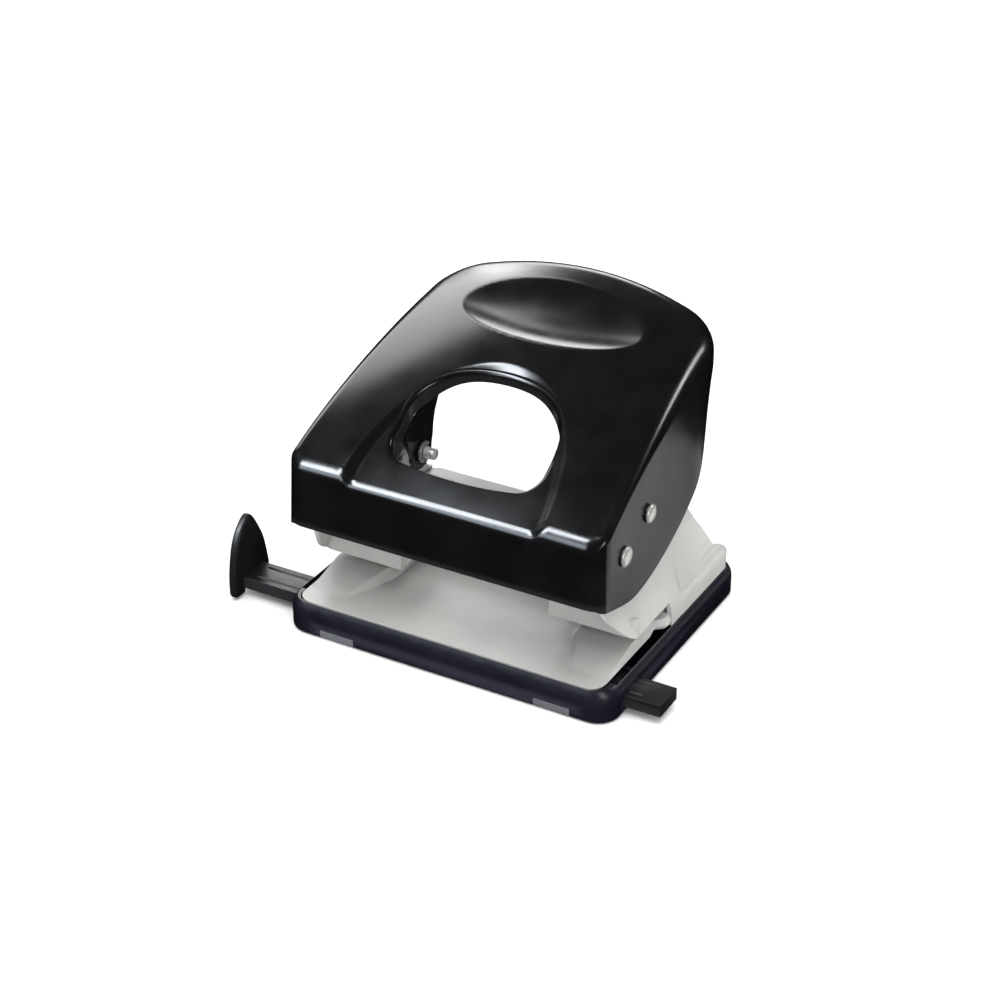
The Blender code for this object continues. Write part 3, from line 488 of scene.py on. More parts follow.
def with_even_runs(outline):
    """The outline with its long straight runs divided evenly, each into an even number of steps."""
    found = []
    for (a, across_a), (b, across_b) in zip(outline, outline[1:] + outline[:1]):
        steps = 1
        if (b - a).length > 1.5 * COLUMN_STEP:
            steps = 2 * math.ceil((b - a).length / COLUMN_STEP / 2)
        for k in range(steps):
            found.append((a.lerp(b, k / steps), across_a.lerp(across_b, k / steps).normalized()))
    return found


def in_opening(point):
    x, y = abs(point.x), point.y
    front = OPENING_FRONT_Y + OPENING_BOW * (x / OPENING_BOW_X) ** 2
    arch = math.hypot(x / OPENING_HALF_W, (y - OPENING_ARCH_Y) / OPENING_ARCH_B)
    if y < front or x > OPENING_HALF_W or (y > OPENING_ARCH_Y and arch > 1):
        return False
    beyond = Vector((x - OPENING_HALF_W + OPENING_CORNER_R, y - front - OPENING_CORNER_R))
    return not (beyond.x > 0 and beyond.y < 0 and beyond.length > OPENING_CORNER_R)


def furthest(test, low=0.0, high=1.0, halvings=30):
    """The largest value that passes a test which holds up to some point, by bisection."""
    for _ in range(halvings):
        value = (low + high) / 2
        if test(value):
            low = value
        else:
            high = value
    return low


def face_row_stops(lip, edge):
    """Shares of the way from the lip to the edge, gathered round the pressed panel's sloping border."""
    foot = min(furthest(lambda t: panel_margin(*lip.lerp(edge, t)) > EMBOSS_SLOPE), 0.7)
    brow = min(max(furthest(lambda t: panel_margin(*lip.lerp(edge, t)) > 0), foot + 0.05), 0.86)
    return subdivided([0.0, max(foot, 0.02), brow, 1.0], [INNER_STEPS, SLOPE_STEPS, OUTER_STEPS])


def bend_radius(point, normal):
    """Radius of the bend between face and skirt: it differs at the front, the sides and the rear."""
    towards_front = ease(-normal.y, 0.3, 0.95)
    towards_rear = ease(normal.y, 0.1, 0.9)
    side = BEND_SIDE + (BEND_SIDE_REAR - BEND_SIDE) * ease(point.y, -42, 36)
    front = BEND_FRONT + (BEND_FRONT_ENDS - BEND_FRONT) * ease(abs(point.x), 33, 39)
    return side + (front - side) * towards_front + (BEND_REAR - side) * towards_rear


def lip_depth(lip):
    """Depth of the opening's turned-down lip, which is deepest beside the drive lugs."""
    depth = LIP_DEPTH_FRONT + LIP_DEPTH_GAIN * ease(lip.y, -36, -26) - LIP_DEPTH_LOSS * ease(lip.y, -12, 0)
    beside_lug = ease(lip.y, -32, -26) * (1 - ease(lip.y, -20, -16)) * ease(abs(lip.x), 24, 27)
    return depth + EAR_FLANGE * beside_lug


def bend_start(point, normal, bend, step=0.5):
    """Angle at which the face already falls where it reaches the bend."""
    inner = point - normal * bend
    fall = (face_height(*(inner - normal * step)) - face_height(*inner)) / step
    return math.atan(max(-0.2, min(0.8, fall)))


def handle_column(point, normal):
    """One line of the handle's outer surface: up the opening's lip, over the face, down the skirt."""
    x, y = point
    bend = bend_radius(point, normal)
    start = bend_start(point, normal, bend)
    edge = point - normal * bend * (1 - math.sin(start))
    direction = (edge - OPENING_CENTRE).normalized()
    lip = OPENING_CENTRE + direction * furthest(lambda r: in_opening(OPENING_CENTRE + direction * r), 0, 60)
    lip_z = face_height(*lip)
    column = [(*(lip - direction * LIP_IN), lip_z - lip_depth(lip))]
    for k in range(LIP_STEPS, 0, -1):
        angle = math.pi / 2 * k / LIP_STEPS
        here = lip - direction * LIP_IN * math.sin(angle)
        column.append((*here, lip_z - LIP_DROP * (1 - math.cos(angle))))
    for t in face_row_stops(lip, edge):
        here = lip.lerp(edge, t)
        column.append((*here, face_height(*here)))
    top = column[-1][2]
    for k in range(1, BEND_STEPS + 1):
        angle = start + (math.pi / 2 - start) * k / BEND_STEPS
        here = edge + normal * bend * (math.sin(angle) - math.sin(start))
        column.append((*here, top - bend * (math.cos(start) - math.cos(angle))))
    low = through_points(SKIRT_LOW, y)
    lean = (HANDLE_HALF_W - abs(x)) * (1 - ease(y, 18, 42)) * ease(abs(normal.x), 0.6, 0.95)
    shoulder = column[-1][2]
    for k in range(1, SKIRT_STEPS + 1):
        t = k / SKIRT_STEPS
        here = point + normal * lean * t
        column.append((*here, shoulder + (low - shoulder) * t))
    return column


def make_handle():
    """Pressed-steel lever: one continuous sheet with the turned-down lip, the bends and the side skirts."""
    columns = [handle_column(point, normal) for point, normal in outer_outline()]
    rows = len(columns[0])
    points = [p for column in columns for p in column]
    faces = []
    for i in range(len(columns)):
        j = (i + 1) % len(columns)
        for k in range(rows - 1):
            faces.append((i * rows + k, i * rows + k + 1, j * rows + k + 1, j * rows + k))
    handle = add_object("lever_handle", points, faces)
    top = max(handle.data.polygons, key=lambda face: abs(face.normal.z) * face.area)
    if top.normal.z < 0:
        handle.data.flip_normals()
    sheet = handle.modifiers.new("sheet", "SOLIDIFY")
    sheet.thickness = SHEET * MM
    sheet.offset = -1
    baked(handle)
    tools = []
    for low, high in ((50, 60), (-60, -50)):
        tools.append(rod("pivot_hole", PIVOT_HOLE_R, low, high, "X", PIVOT))
        tools.append(rod("drive_hole", DRIVE_HOLE_R, low, high, "X", DRIVE))
    cut(handle, *tools)
    rounded(handle, 0.3, 3, 60)
    finished(handle, "handle_black", "handle", "handle", smooth_angle=40)


LUG_REAR = [(-5.4, 64.0), (-4.9, 68.0), (-3.7, 72.0), (-1.5, 76.0), (2.0, 80.0)]
LUG_UNDER_LIP = [(-10.6, 76.6), (-16.0, 74.6), (-20.0, 71.4), (-22.0, 69.6), (-21.2, 66.0)]


def make_drive_lugs():
    """Ears welded under the handle's face: each steadies the inner end of a drive pin."""
    low, high = box_mm("drive_lug_right")
    under = 1.6 * SHEET + FIT
    outline = arc(DRIVE, 6.5, 180, 360, 30) + LUG_REAR
    for y in (5.0, 0.0, -5.0, -8.6):
        outline.append((y, min(face_height(low.x, y), face_height(high.x, y)) - under))
    lug = prism("pin_ear_right", outline + LUG_UNDER_LIP, low.x, high.x, "X")
    rounded(cut(lug, rod("ear_bore", DRIVE_HOLE_R, 20, 30, "X", DRIVE)), 0.25, 3, 50)
    both_sides(lug, "drive_lug_right", "handle_black", "handle")


# ---- base plate
PLATE_HALF_W, PLATE_CORNER_R = 56.6, 5.2
RAMP_W, RAMP_FRONT_Y, RAMP_FRONT_X, RAMP_NARROWING = 2.5, -37, 41, 7
PLATE_ROWS_Y = subdivided([-44.4, -43.2, -37, -18, -9, -5.0, -1.0, 0.7], [6, 8, 24, 8, 12, 8, 4])
PLATE_COLUMN_STEPS = [6, 6, 8, 8, 6, 5, 5, 6]
PAN_HALF_W, PAN_REAR_Y, PAN_CORNER_R = 57.5, 45.4, 5.0
PAN_BEND_R, PAN_INNER_R, PAN_WALL_TOP, PAN_TOP_INSET = 2.2, 1.0, 17.6, 4.0


def ramp_edge(y):
    """Distance from the middle at which a ramp leaves the table: it nears the middle towards the back."""
    return RAMP_FRONT_X - RAMP_NARROWING * ramp(y, RAMP_FRONT_Y, -18)


def plate_height(x, y):
    """Top of the paper table: flat in the middle, with two ramps up to the raised dies."""
    rise = ease(abs(x), ramp_edge(y), ramp_edge(y) + RAMP_W) * ramp(y, RAMP_FRONT_Y, -20)
    edge = ramp(abs(x), PLATE_HALF_W - 1, PLATE_HALF_W)
    lifted_edge = 1.3 * ease(y, -9, -5.2) * edge
    rear_bend = 0.7 * ramp(y, -1.0, 0.7)
    return PLATE_Z + (PLATFORM_Z - PLATE_Z) * rise * (1 - edge) + lifted_edge + rear_bend


def plate_point(x, y):
    """Rounds the table's front corners and widens it where it meets the frame's wall."""
    radius, front = PLATE_CORNER_R, PLATE_ROWS_Y[0]
    widen = 3.0 * ease(y, -5.2, -1.0) * ramp(abs(x), 49, PLATE_HALF_W - 1)
    dx, dy = abs(x) - (PLATE_HALF_W - radius), front + radius - y
    if dx > 0 and dy > 0:
        squeeze = max(dx, dy) / math.hypot(dx, dy)
        x = math.copysign(PLATE_HALF_W - radius + dx * squeeze, x)
        y = front + radius - dy * squeeze
    return x + math.copysign(widen, x), y


def make_table_sheet():
    """The paper table as one closed sheet: its top, its underside and the rim between them."""
    top = []
    for y in PLATE_ROWS_Y:
        edge = ramp_edge(y)
        stops = [0, 14, 26, edge, edge + RAMP_W, 46.5, 51, PLATE_HALF_W - 1, PLATE_HALF_W]
        half = subdivided(stops, PLATE_COLUMN_STEPS)
        xs = [-x for x in reversed(half[1:])] + half
        top.append([(*plate_point(x, y), plate_height(x, y)) for x in xs])
    rows, width = len(top), len(top[0])
    points = [p for row in top for p in row]
    for x, y, z in list(points):
        drawn_in = 0.9 * ramp(abs(x), 53, PLATE_HALF_W)
        points.append((x - math.copysign(drawn_in, x), y, z - SHEET))
    below, faces = rows * width, []
    for k in range(rows - 1):
        for i in range(width - 1):
            a = k * width + i
            square = (a, a + 1, a + 1 + width, a + width)
            faces += [square, tuple(v + below for v in square)]
    rim = list(range(width))
    rim += [k * width + width - 1 for k in range(1, rows)]
    rim += [(rows - 1) * width + i for i in range(width - 2, -1, -1)]
    rim += [k * width for k in range(rows - 2, 0, -1)]
    for a, b in zip(rim, rim[1:] + rim[:1]):
        faces.append((a, b, b + below, a + below))
    return add_object("table_sheet", points, faces)


def make_deck_pan():
    """The raised deck behind the paper stop: a shallow pressed box, open below."""
    bend_z = DECK_Z - PAN_BEND_R
    profile = [(0, PLATE_Z), (0, PAN_WALL_TOP)]
    profile += [(PAN_BEND_R - a, bend_z + b) for a, b in arc((0, 0), PAN_BEND_R, 0, 90, 8)]
    profile += [(PAN_TOP_INSET, DECK_Z), (PAN_TOP_INSET, DECK_Z - SHEET), (2.4, DECK_Z - SHEET)]
    profile += [(PAN_BEND_R - a, bend_z + b) for a, b in arc((0, 0), PAN_INNER_R, 90, 0, 6)]
    profile.append((SHEET, PLATE_Z))
    points, count, top_ring = [], 0, 0
    half_y = PAN_REAR_Y / 2
    for number, (inset, z) in enumerate(profile):
        if (inset, z) == (PAN_TOP_INSET, DECK_Z):
            top_ring = number
        outline = rounded_rectangle(PAN_HALF_W - inset, half_y - inset, PAN_CORNER_R - inset, 10)
        count = len(outline)
        points += [(x, y + half_y, z) for x, y in outline]
    rings, faces = len(profile), []
    for k in range(rings):
        if k != top_ring:
            faces += band(k * count, (k + 1) % rings * count, count)
    for k in (top_ring, top_ring + 1):
        faces.append(tuple(range(k * count, (k + 1) * count)))
    return add_object("deck_pan", points, faces)


def rivet_holes(kind, radius, low, high, axis, sides=("right",)):
    """Drills for the two rivets of a kind on each of the given sides."""
    tools = []
    for side in sides:
        for number in (1, 2):
            place = middle(f"{kind}_rivet_{side}_{number}")
            centre = (place.x, place.y) if axis == "Z" else (place.y, place.z)
            tools.append(rod("rivet_hole", radius, low, high, axis, centre, 32))
    return tools


def make_base_plate():
    sheet = make_table_sheet()
    cut(sheet, *[rod("die", PUNCH_HOLE_R, 12, 18, "Z", (side * PUNCH_X, PUNCH_Y)) for side in (1, -1)])
    rounded(sheet, 0.35, 3, 50)
    pan = rounded(make_deck_pan(), 0.2, 2, 60)
    cut(pan, *rivet_holes("base", BASE_RIVET_HOLE_R, 16, 23, "Z", ("right", "left")))
    finished(merged("base_pressing", sheet, pan), "frame_grey", "base", "base_plate")


# ---- tray, feet, guide bar
TRAY_FRONT_R, TRAY_REAR_R = 8.0, 4.5
TRAY_WALL, TRAY_FLOOR = 1.8, 1.5
TRAY_PROFILE = [  # inset from the sides, inset from front and rear, height
    (1.2, 1.2, 0.0), (0.75, 0.75, 0.12), (0.35, 0.35, 0.4), (0.1, 0.1, 0.8), (0, 0, 1.3), (0, 0, 6.9),
    (0.05, 0.05, 7.7), (0.15, 0.14, 8.5), (0.35, 0.28, 9.2), (0.7, 0.46, 9.9), (1.1, 0.66, 10.5),
    (1.5, 0.86, 11.0), (1.9, 1.02, 11.4), (2.2, 1.12, 11.65), (2.6, 1.2, 11.8), (3.9, 1.25, 11.8),
    (4.1, 1.3, 11.6), (4.1, 1.3, 10.4), (6.4, 4.0, 10.4), (6.4, 4.0, 9.2), (1.8, 1.8, 8.4), (1.8, 1.8, 4.2),
]
BOSS_WALL = 1.2
FOOT_LEVELS, GROOVES, GROOVE_HALF_W, GROOVE_DEPTH = 5, 3, 0.4, 0.35
RIB_Y, RIB_THICKNESS, POCKET_RUN_OUT = -23.2, 1.4, 3
BAR_Y0, BAR_Y1, BAR_Z0, BAR_Z1 = -36.0, -24.0, 3.0, 7.4
FEET = [f"rubber_foot_{end}_{side}" for end in ("front", "rear") for side in ("left", "right")]


def tray_outline(inset_x, inset_y):
    """Plan of the tray: wide round corners in front and small ones at the back."""
    half, front, rear = TRAY_HIGH.x - inset_x, TRAY_LOW.y + inset_y, TRAY_HIGH.y - inset_y
    inset = (inset_x + inset_y) / 2
    small, wide = max(TRAY_REAR_R - inset, 0.6), TRAY_FRONT_R - inset
    found = arc((half - small, rear - small), small, 0, 90, 12)
    found += arc((small - half, rear - small), small, 90, 180, 12)
    found += arc((wide - half, front + wide), wide, 180, 270, 14)
    return found + arc((half - wide, front + wide), wide, 270, 360, 14)


def tray_well():
    """Plan of the tray's hollow, which leaves a boss over each foot."""
    foot_low, foot_high = box_mm("rubber_foot_rear_right")
    inner_x, middle_x = TRAY_HIGH.x - TRAY_WALL, foot_low.x - FIT - BOSS_WALL
    boss = foot_high.y - foot_low.y + FIT + BOSS_WALL
    plan = []
    for wall_y, end, turn in ((TRAY_LOW.y, -1, 1), (TRAY_HIGH.y, 1, -1)):
        inner_y, boss_y = wall_y - end * TRAY_WALL, wall_y - end * boss
        plan += [(-turn * inner_x, boss_y), (-turn * middle_x, boss_y), (-turn * middle_x, inner_y)]
        plan += [(turn * middle_x, inner_y), (turn * middle_x, boss_y), (turn * inner_x, boss_y)]
    return prism("tray_well", plan, TRAY_FLOOR, TRAY_HIGH.z + 1, "Z")


def tray_shell():
    """The tray's outside, stacked from its plan at each height of its profile."""
    points, count = [], 0
    for inset_x, inset_y, z in TRAY_PROFILE:
        outline = tray_outline(inset_x, inset_y)
        count = len(outline)
        points += [(x, y, z) for x, y in outline]
    layers = len(TRAY_PROFILE)
    faces = [tuple(range(count)), tuple(range(count * (layers - 1), count * layers))]
    for k in range(layers - 1):
        faces += band(k * count, (k + 1) * count, count)
    return add_object("tray_moulding", points, faces)


def tray_openings():
    """Tools for the guide bar's two windows and the pockets that hold the feet."""
    tools = []
    for side in (1, -1):
        low, high = sorted((side * (TRAY_HIGH.x - 5), side * (TRAY_HIGH.x + 3)))
        tools.append(block("window", (low, BAR_Y0 - FIT, BAR_Z0 - FIT), (high, BAR_Y1 + FIT, BAR_Z1 + FIT)))
    for node in FEET:
        low, high = box_mm(node)
        if high.y > 0:
            y0, y1 = low.y - FIT, high.y + POCKET_RUN_OUT
        else:
            y0, y1 = low.y - POCKET_RUN_OUT, high.y + FIT
        tools.append(block("pocket", (low.x - FIT, y0, -2), (high.x + FIT, y1, high.z + FIT)))
    return tools


def make_tray():
    """The chip tray: shell, hollow, the rib behind the guide bar, windows and pockets."""
    tray = cut(tray_shell(), tray_well())
    rib_x, rib_top = TRAY_HIGH.x - TRAY_WALL + 0.5, BAR_Z1 + FIT + 0.3
    shaped(tray, "UNION", block("rib", (-rib_x, RIB_Y, 1.0), (rib_x, RIB_Y + RIB_THICKNESS, rib_top)))
    cut(tray, *tray_openings())
    rounded(tray, 0.22, 2, 50)
    finished(tray, "tray_plastic", "chip_tray", "chip_tray")


def make_feet():
    """Grey anti-slip pads that follow the tray's lower edge, with shallow grooves across the underside."""
    for node in FEET:
        low, high = box_mm(node)
        end = 1 if high.y > 0 else -1
        wall, inner = (high.y, low.y) if end > 0 else (low.y, high.y)
        section = [(inner, 0)] + [(wall - end * inset, z) for inset, _, z in TRAY_PROFILE[:FOOT_LEVELS]]
        section += [(wall, high.z), (inner, high.z)]
        foot = prism(node.replace("rubber_foot", "grip_pad"), section, low.x, high.x, "X")
        grooves = []
        for k in range(1, GROOVES + 1):
            x = low.x + (high.x - low.x) * k / (GROOVES + 1)
            start, end = (x - GROOVE_HALF_W, low.y - 1, -1), (x + GROOVE_HALF_W, high.y + 1, GROOVE_DEPTH)
            grooves.append(block("groove", start, end))
        cut(foot, *grooves)
        rounded(foot, 0.25, 3, 50)
        finished(foot, "foot_rubber", "chip_tray", node)


STOP_THICKNESS = 3.0
STOP_OUTLINE = [
    (-40.0, 0.6), (-40.7, 2.0), (-40.7, 8.4), (-40.0, 13.5), (-38.9, 18.4), (-37.6, 21.8), (-35.6, 25.0),
    (-33.2, 27.3), (-31.2, 28.6), (-29.8, 28.9), (-28.6, 28.1), (-27.2, 26.2), (-25.6, 23.4), (-23.9, 20.2),
    (-22.4, 16.6), (-21.2, 11.7), (-20.0, 5.4), (-20.4, 4.2), (-24.0, BAR_Z0), (-34.4, BAR_Z0), (-34.9, 0.6),
]
TOOTH_PITCH, TOOTH_DEPTH = 6.0, 0.7


def spline_outline(points, keep_last, steps=5):
    """A closed outline rounded through its points, its last corners left as they are."""
    count, found = len(points), []
    for i in range(count):
        p0, p1, p2, p3 = (Vector(points[(i + k) % count]) for k in (-1, 0, 1, 2))
        if i >= count - keep_last or i == 0:
            found.append(tuple(p1))
            continue
        for k in range(steps):
            t = k / steps
            place = 2 * p1 + (p2 - p0) * t + (2 * p0 - 5 * p1 + 4 * p2 - p3) * t**2
            place += (3 * p1 - p0 - 3 * p2 + p3) * t**3
            found.append(tuple(0.5 * place))
    return found


def make_guide_bar():
    """The sliding ruler: detent notches along its rear edge, two grooves on top and the upright stop."""
    left, right = BAR_LOW.x + STOP_THICKNESS, BAR_HIGH.x
    section = [(BAR_Y0, BAR_Z0), (BAR_Y1, BAR_Z0), (BAR_Y1, BAR_Z1), (BAR_Y0, BAR_Z1)]
    bar = prism("guide_ruler", section, left - 1, right, "X")
    first = left + 26
    comb = []
    teeth = int((right - 8 - first) / TOOTH_PITCH)
    for i in range(teeth):
        x = first + i * TOOTH_PITCH
        comb += [(x, BAR_Y1 + 1), (x, BAR_Y1), (x + 1, BAR_Y1 - TOOTH_DEPTH)]
        comb += [(x + 2, BAR_Y1), (x + 2, BAR_Y1 + 1)]
    end = first + teeth * TOOTH_PITCH
    comb += [(end, BAR_Y1 + 1), (end, BAR_Y1 + 2), (first, BAR_Y1 + 2)]
    tools = [prism("comb", comb, BAR_Z0 - 1, BAR_Z1 + 1, "Z")]
    for low in (BAR_Y0 + 2.2, BAR_Y1 - 3.2):
        tools.append(block("groove", (left + 4, low, BAR_Z1 - 0.5), (right - 8, low + 1.0, BAR_Z1 + 1)))
    cut(bar, *tools)
    rounded(bar, 0.35, 3, 35)
    outline = spline_outline(STOP_OUTLINE, 5)
    blade = rounded(prism("blade", outline, BAR_LOW.x, left, "X"), 0.9, 5, 50)
    finished(merged("guide_ruler_bar", bar, blade), "bar_plastic", "guide_bar", "guide_bar")


# ---- frames
FRAME_SHEET = 1.6
FLARE = [(12.3, 59.9), (17.8, 59.5), (20.8, 58.8), (24, 57.7), (28, 56.0), (33, 54.3), (38, 53.4), (60, 53.4)]
LEDGE = [
    (12.3, 60.0), (17.8, 60.0), (19.6, 59.2), (20.4, 57.3), (24, 56.4), (28, 55.6), (33, 54.3), (38, 53.4),
    (60, 53.4),
]
LEVELS_Z = subdivided([14, 17, 19.2, 21.6, 40], [2, 4, 9, 24])
LEVELS_Y = subdivided([7.5, 12.5, 42.0, 45.0], [8, 1, 5])
EAR_R, WALL_TOP, WALL_REAR_Y = 6.5, 46.0, 45.4
WALL_REAR_EDGE = [
    (0.9, SLOT_TOP), (0.9, 12.4), (WALL_REAR_Y, 12.4), (WALL_REAR_Y, 17.6), (44.9, 18.9), (44.2, 19.8),
    (42.6, 20.5), (40.5, 21.2), (38.8, 22.7), (37.5, 24.5), (32.5, 32.5), (26.5, 40.5), (22.8, 44.2),
    (21.5, 45.2), (20.0, WALL_TOP), (-20.5, WALL_TOP), (-22.0, 46.6), (-23.0, 48.2), (-23.6, 51.0),
]
WALL_FRONT_EDGE = [
    (-37.1, 48.0), (-37.0, 36.6), (-36.0, 34.0), (-34.4, 31.4), (-31.6, 27.6), (-29.0, 24.6), (-26.2, 22.2),
    (-23.6, SLOT_TOP),
]
LIP_TOP, LIP_BEND, FRAME_FRONT_Y, FRAME_INNER_X = 27.0, 4.0, -24.7, 27.7
LIP_CORNER = (58.9 - LIP_BEND, FRAME_FRONT_Y + LIP_BEND)
PLATE_INSET = 0.7


def frame_x(y, z):
    """Outer face of the frame's wall, flared towards the base and with a ledge along its rear foot."""
    ledge = ease(y, 8.0, 12.0)
    rear_round = 1.2 * ease(y, 42.0, WALL_REAR_Y) * (1 - ramp(z, 20, 28))
    return through_points(FLARE, z) * (1 - ledge) + through_points(LEDGE, z) * ledge - rear_round


def frame_wall():
    """The upright wall: a flat outline cut into small faces, moved out to its flare and thickened."""
    outline = WALL_REAR_EDGE + arc(PIVOT, EAR_R, 0, 180, 28) + WALL_FRONT_EDGE
    sheet = bmesh.new()
    sheet.faces.new([sheet.verts.new((0, y, z)) for y, z in outline])
    levels = [((0, 0, z), (0, 0, 1)) for z in LEVELS_Z] + [((0, y, 0), (0, 1, 0)) for y in LEVELS_Y]
    for place, across in levels:
        geometry = sheet.verts[:] + sheet.edges[:] + sheet.faces[:]
        bmesh.ops.bisect_plane(sheet, geom=geometry, plane_co=place, plane_no=across)
    bmesh.ops.triangulate(sheet, faces=sheet.faces[:])
    sheet.verts.index_update()
    points = [(frame_x(v.co.y, v.co.z), v.co.y, v.co.z) for v in sheet.verts]
    faces = [tuple(v.index for v in face.verts) for face in sheet.faces]
    rim = [tuple(v.index for v in edge.verts) for edge in sheet.edges if edge.is_boundary]
    count = len(points)
    sheet.free()
    points += [(x - FRAME_SHEET, y, z) for x, y, z in points]
    sides = [(a, b, b + count, a + count) for a, b in rim]
    faces += [tuple(i + count for i in face) for face in faces] + sides
    return add_object("frame_wall", points, faces)


def ribbon(name, path, thickness, low, high):
    """An upright strip that follows a plan path, its thickness laid to the path's left."""
    inner = []
    for i, (x, y) in enumerate(path):
        before, after = Vector(path[max(i - 1, 0)]), Vector(path[min(i + 1, len(path) - 1)])
        along = (after - before).normalized()
        inner.append((x - along.y * thickness, y + along.x * thickness))
    return prism(name, path + inner[::-1], low, high, "Z")


def frame_lip():
    path = [(FRAME_INNER_X, FRAME_FRONT_Y), (LIP_CORNER[0], FRAME_FRONT_Y)]
    path += arc(LIP_CORNER, LIP_BEND, -90, -4, 14)[1:]
    return rounded(ribbon("frame_lip", path, GUIDE_SHEET, SLOT_TOP, LIP_TOP), 0.45, 4, 35)


def guide_plate():
    front = FRAME_FRONT_Y + PLATE_INSET
    outline = [(FRAME_INNER_X, front), (LIP_CORNER[0], front)]
    outline += arc(LIP_CORNER, LIP_BEND - PLATE_INSET, -90, -4, 12)[1:]
    outline += [(58.1, -1.5), (FRAME_INNER_X, -1.5)]
    plate = prism("guide_plate", outline, SLOT_TOP + 0.01, SLOT_TOP + GUIDE_SHEET, "Z")
    cut(plate, rod("guide_hole", PUNCH_HOLE_R, 18, 25, "Z", (PUNCH_X, PUNCH_Y)))
    return rounded(plate, 0.25, 3, 50)


def frame_foot():
    foot = block("frame_foot", (43.0, 4.0, DECK_Z + FIT), (55.6, 36.0, DECK_Z + 1.8))
    return rounded(cut(foot, *rivet_holes("base", BASE_RIVET_HOLE_R, 18, 25, "Z")), 0.25, 3, 50)


def make_frames():
    """The two punching frames: flared wall with the pivot ear, guide plate with its lip, and riveted foot."""
    ear_hole = rod("ear_hole", PIVOT_HOLE_R, 48, 60, "X", PIVOT)
    wall = cut(frame_wall(), ear_hole, *rivet_holes("guide", GUIDE_RIVET_HOLE_R, 48, 60, "X"))
    rounded(wall, 0.4, 3, 55)
    frame_right = merged("side_frame_right", wall, frame_lip(), guide_plate(), frame_foot())
    both_sides(frame_right, "frame_right", "frame_grey", "base")


def make_upper_guides():
    """The bracket inside each frame that keeps the punch upright and carries its spring."""
    low, high = box_mm("upper_guide_right")
    sheet, bend = GUIDE_SHEET, 1.6
    section = [(low.x, low.z), (high.x - bend, low.z)]
    section += arc((high.x - bend, low.z + bend), bend, -90, 0, 8)
    section += [(high.x, high.z), (high.x - sheet, high.z)]
    section += [(high.x - sheet, low.z + sheet), (low.x, low.z + sheet)]
    guide = prism("punch_guide_right", section, low.y, high.y, "Y")
    tools = [rod("shaft_hole", PUNCH_HOLE_R, 33, 40, "Z", (PUNCH_X, PUNCH_Y))]
    tools += rivet_holes("guide", GUIDE_RIVET_HOLE_R, 48, 60, "X")
    rounded(cut(guide, *tools), 0.25, 3, 50)
    both_sides(guide, "upper_guide_right", "frame_grey", "base")


# ---- punches, springs, pins
PUNCH_R, PUNCH_TRAVEL = 2.75, 9.0
COLLAR_R, COLLAR_HEIGHT, COLLAR_CHAMFER = 5.2, 1.4, 0.2
DRIVE_SLOT_R, SLOT_REACH_REAR, SLOT_REACH_FRONT = 2.25, 1.9, 0.6


def make_punches():
    """Ground shaft with a notched cutting end, a spring collar, and a slotted head for the drive pin."""
    low, high = box_mm("punch_right")
    tip, collar_top = low.z, COLLAR_Z + COLLAR_HEIGHT
    rim = COLLAR_R - COLLAR_CHAMFER
    profile = [(0, tip), (PUNCH_R, tip), (PUNCH_R, COLLAR_Z), (rim, COLLAR_Z)]
    profile += [(COLLAR_R, COLLAR_Z + COLLAR_CHAMFER), (COLLAR_R, collar_top - COLLAR_CHAMFER)]
    profile += [(rim, collar_top), (0, collar_top)]
    punch = turned("shaft", profile, "Z", (PUNCH_X, PUNCH_Y))
    notch = [(PUNCH_Y - 3.5, tip - 1), (PUNCH_Y + 3.5, tip - 1), (PUNCH_Y, tip + 1.6)]
    cut(punch, prism("tip_notch", notch, PUNCH_X - 4, PUNCH_X + 4, "X"))
    outline = [(PUNCH_X + x, PUNCH_Y + y) for x, y in rounded_rectangle(4.0, 6.5, 1.5, 6)]
    head = prism("head", outline, COLLAR_Z + COLLAR_HEIGHT / 2, high.z, "Z")
    slot = arc((DRIVE.x + SLOT_REACH_REAR, DRIVE.y), DRIVE_SLOT_R, -90, 90, 16)
    slot += arc((DRIVE.x - SLOT_REACH_FRONT, DRIVE.y), DRIVE_SLOT_R, 90, 270, 16)
    rounded(cut(head, prism("drive_slot", slot, 30, 50, "X")), 0.35, 3, 50)
    punch = merged("punch_rod_right", punch, head)
    both_sides(punch, "punch_right", "tool_steel", "punch_right")


WIRE_R, WIRE_SIDES, COIL_R, TURNS, STEPS_PER_TURN = 0.5, 10, 4.1, 6, 40
END_SHARE, CLOSED_PITCH = 0.14, 1.06


def coil(name, low, high):
    """The right-hand spring's wire, its end turns closed, between the heights of its first and last turns."""
    end_rise = 2 * WIRE_R * CLOSED_PITCH
    steps, points = TURNS * STEPS_PER_TURN, []
    for i in range(steps + 1):
        t = i / steps
        angle = 2 * math.pi * TURNS * t
        closed = end_rise * (ramp(t, 0, END_SHARE) + ramp(t, 1 - END_SHARE, 1.0))
        z = low + closed + (high - low - 2 * end_rise) * ramp(t, END_SHARE, 1 - END_SHARE)
        out = Vector((math.cos(angle), math.sin(angle), 0))
        spine = Vector((PUNCH_X, PUNCH_Y, z)) + out * COIL_R
        for k in range(WIRE_SIDES):
            turn = 2 * math.pi * k / WIRE_SIDES
            points.append(tuple(spine + (out * math.cos(turn) + Vector((0, 0, math.sin(turn)))) * WIRE_R))
    faces = [tuple(range(WIRE_SIDES)), tuple(range(steps * WIRE_SIDES, (steps + 1) * WIRE_SIDES))]
    for i in range(steps):
        faces += band(i * WIRE_SIDES, (i + 1) * WIRE_SIDES, WIRE_SIDES)
    return add_object(name, points, faces)


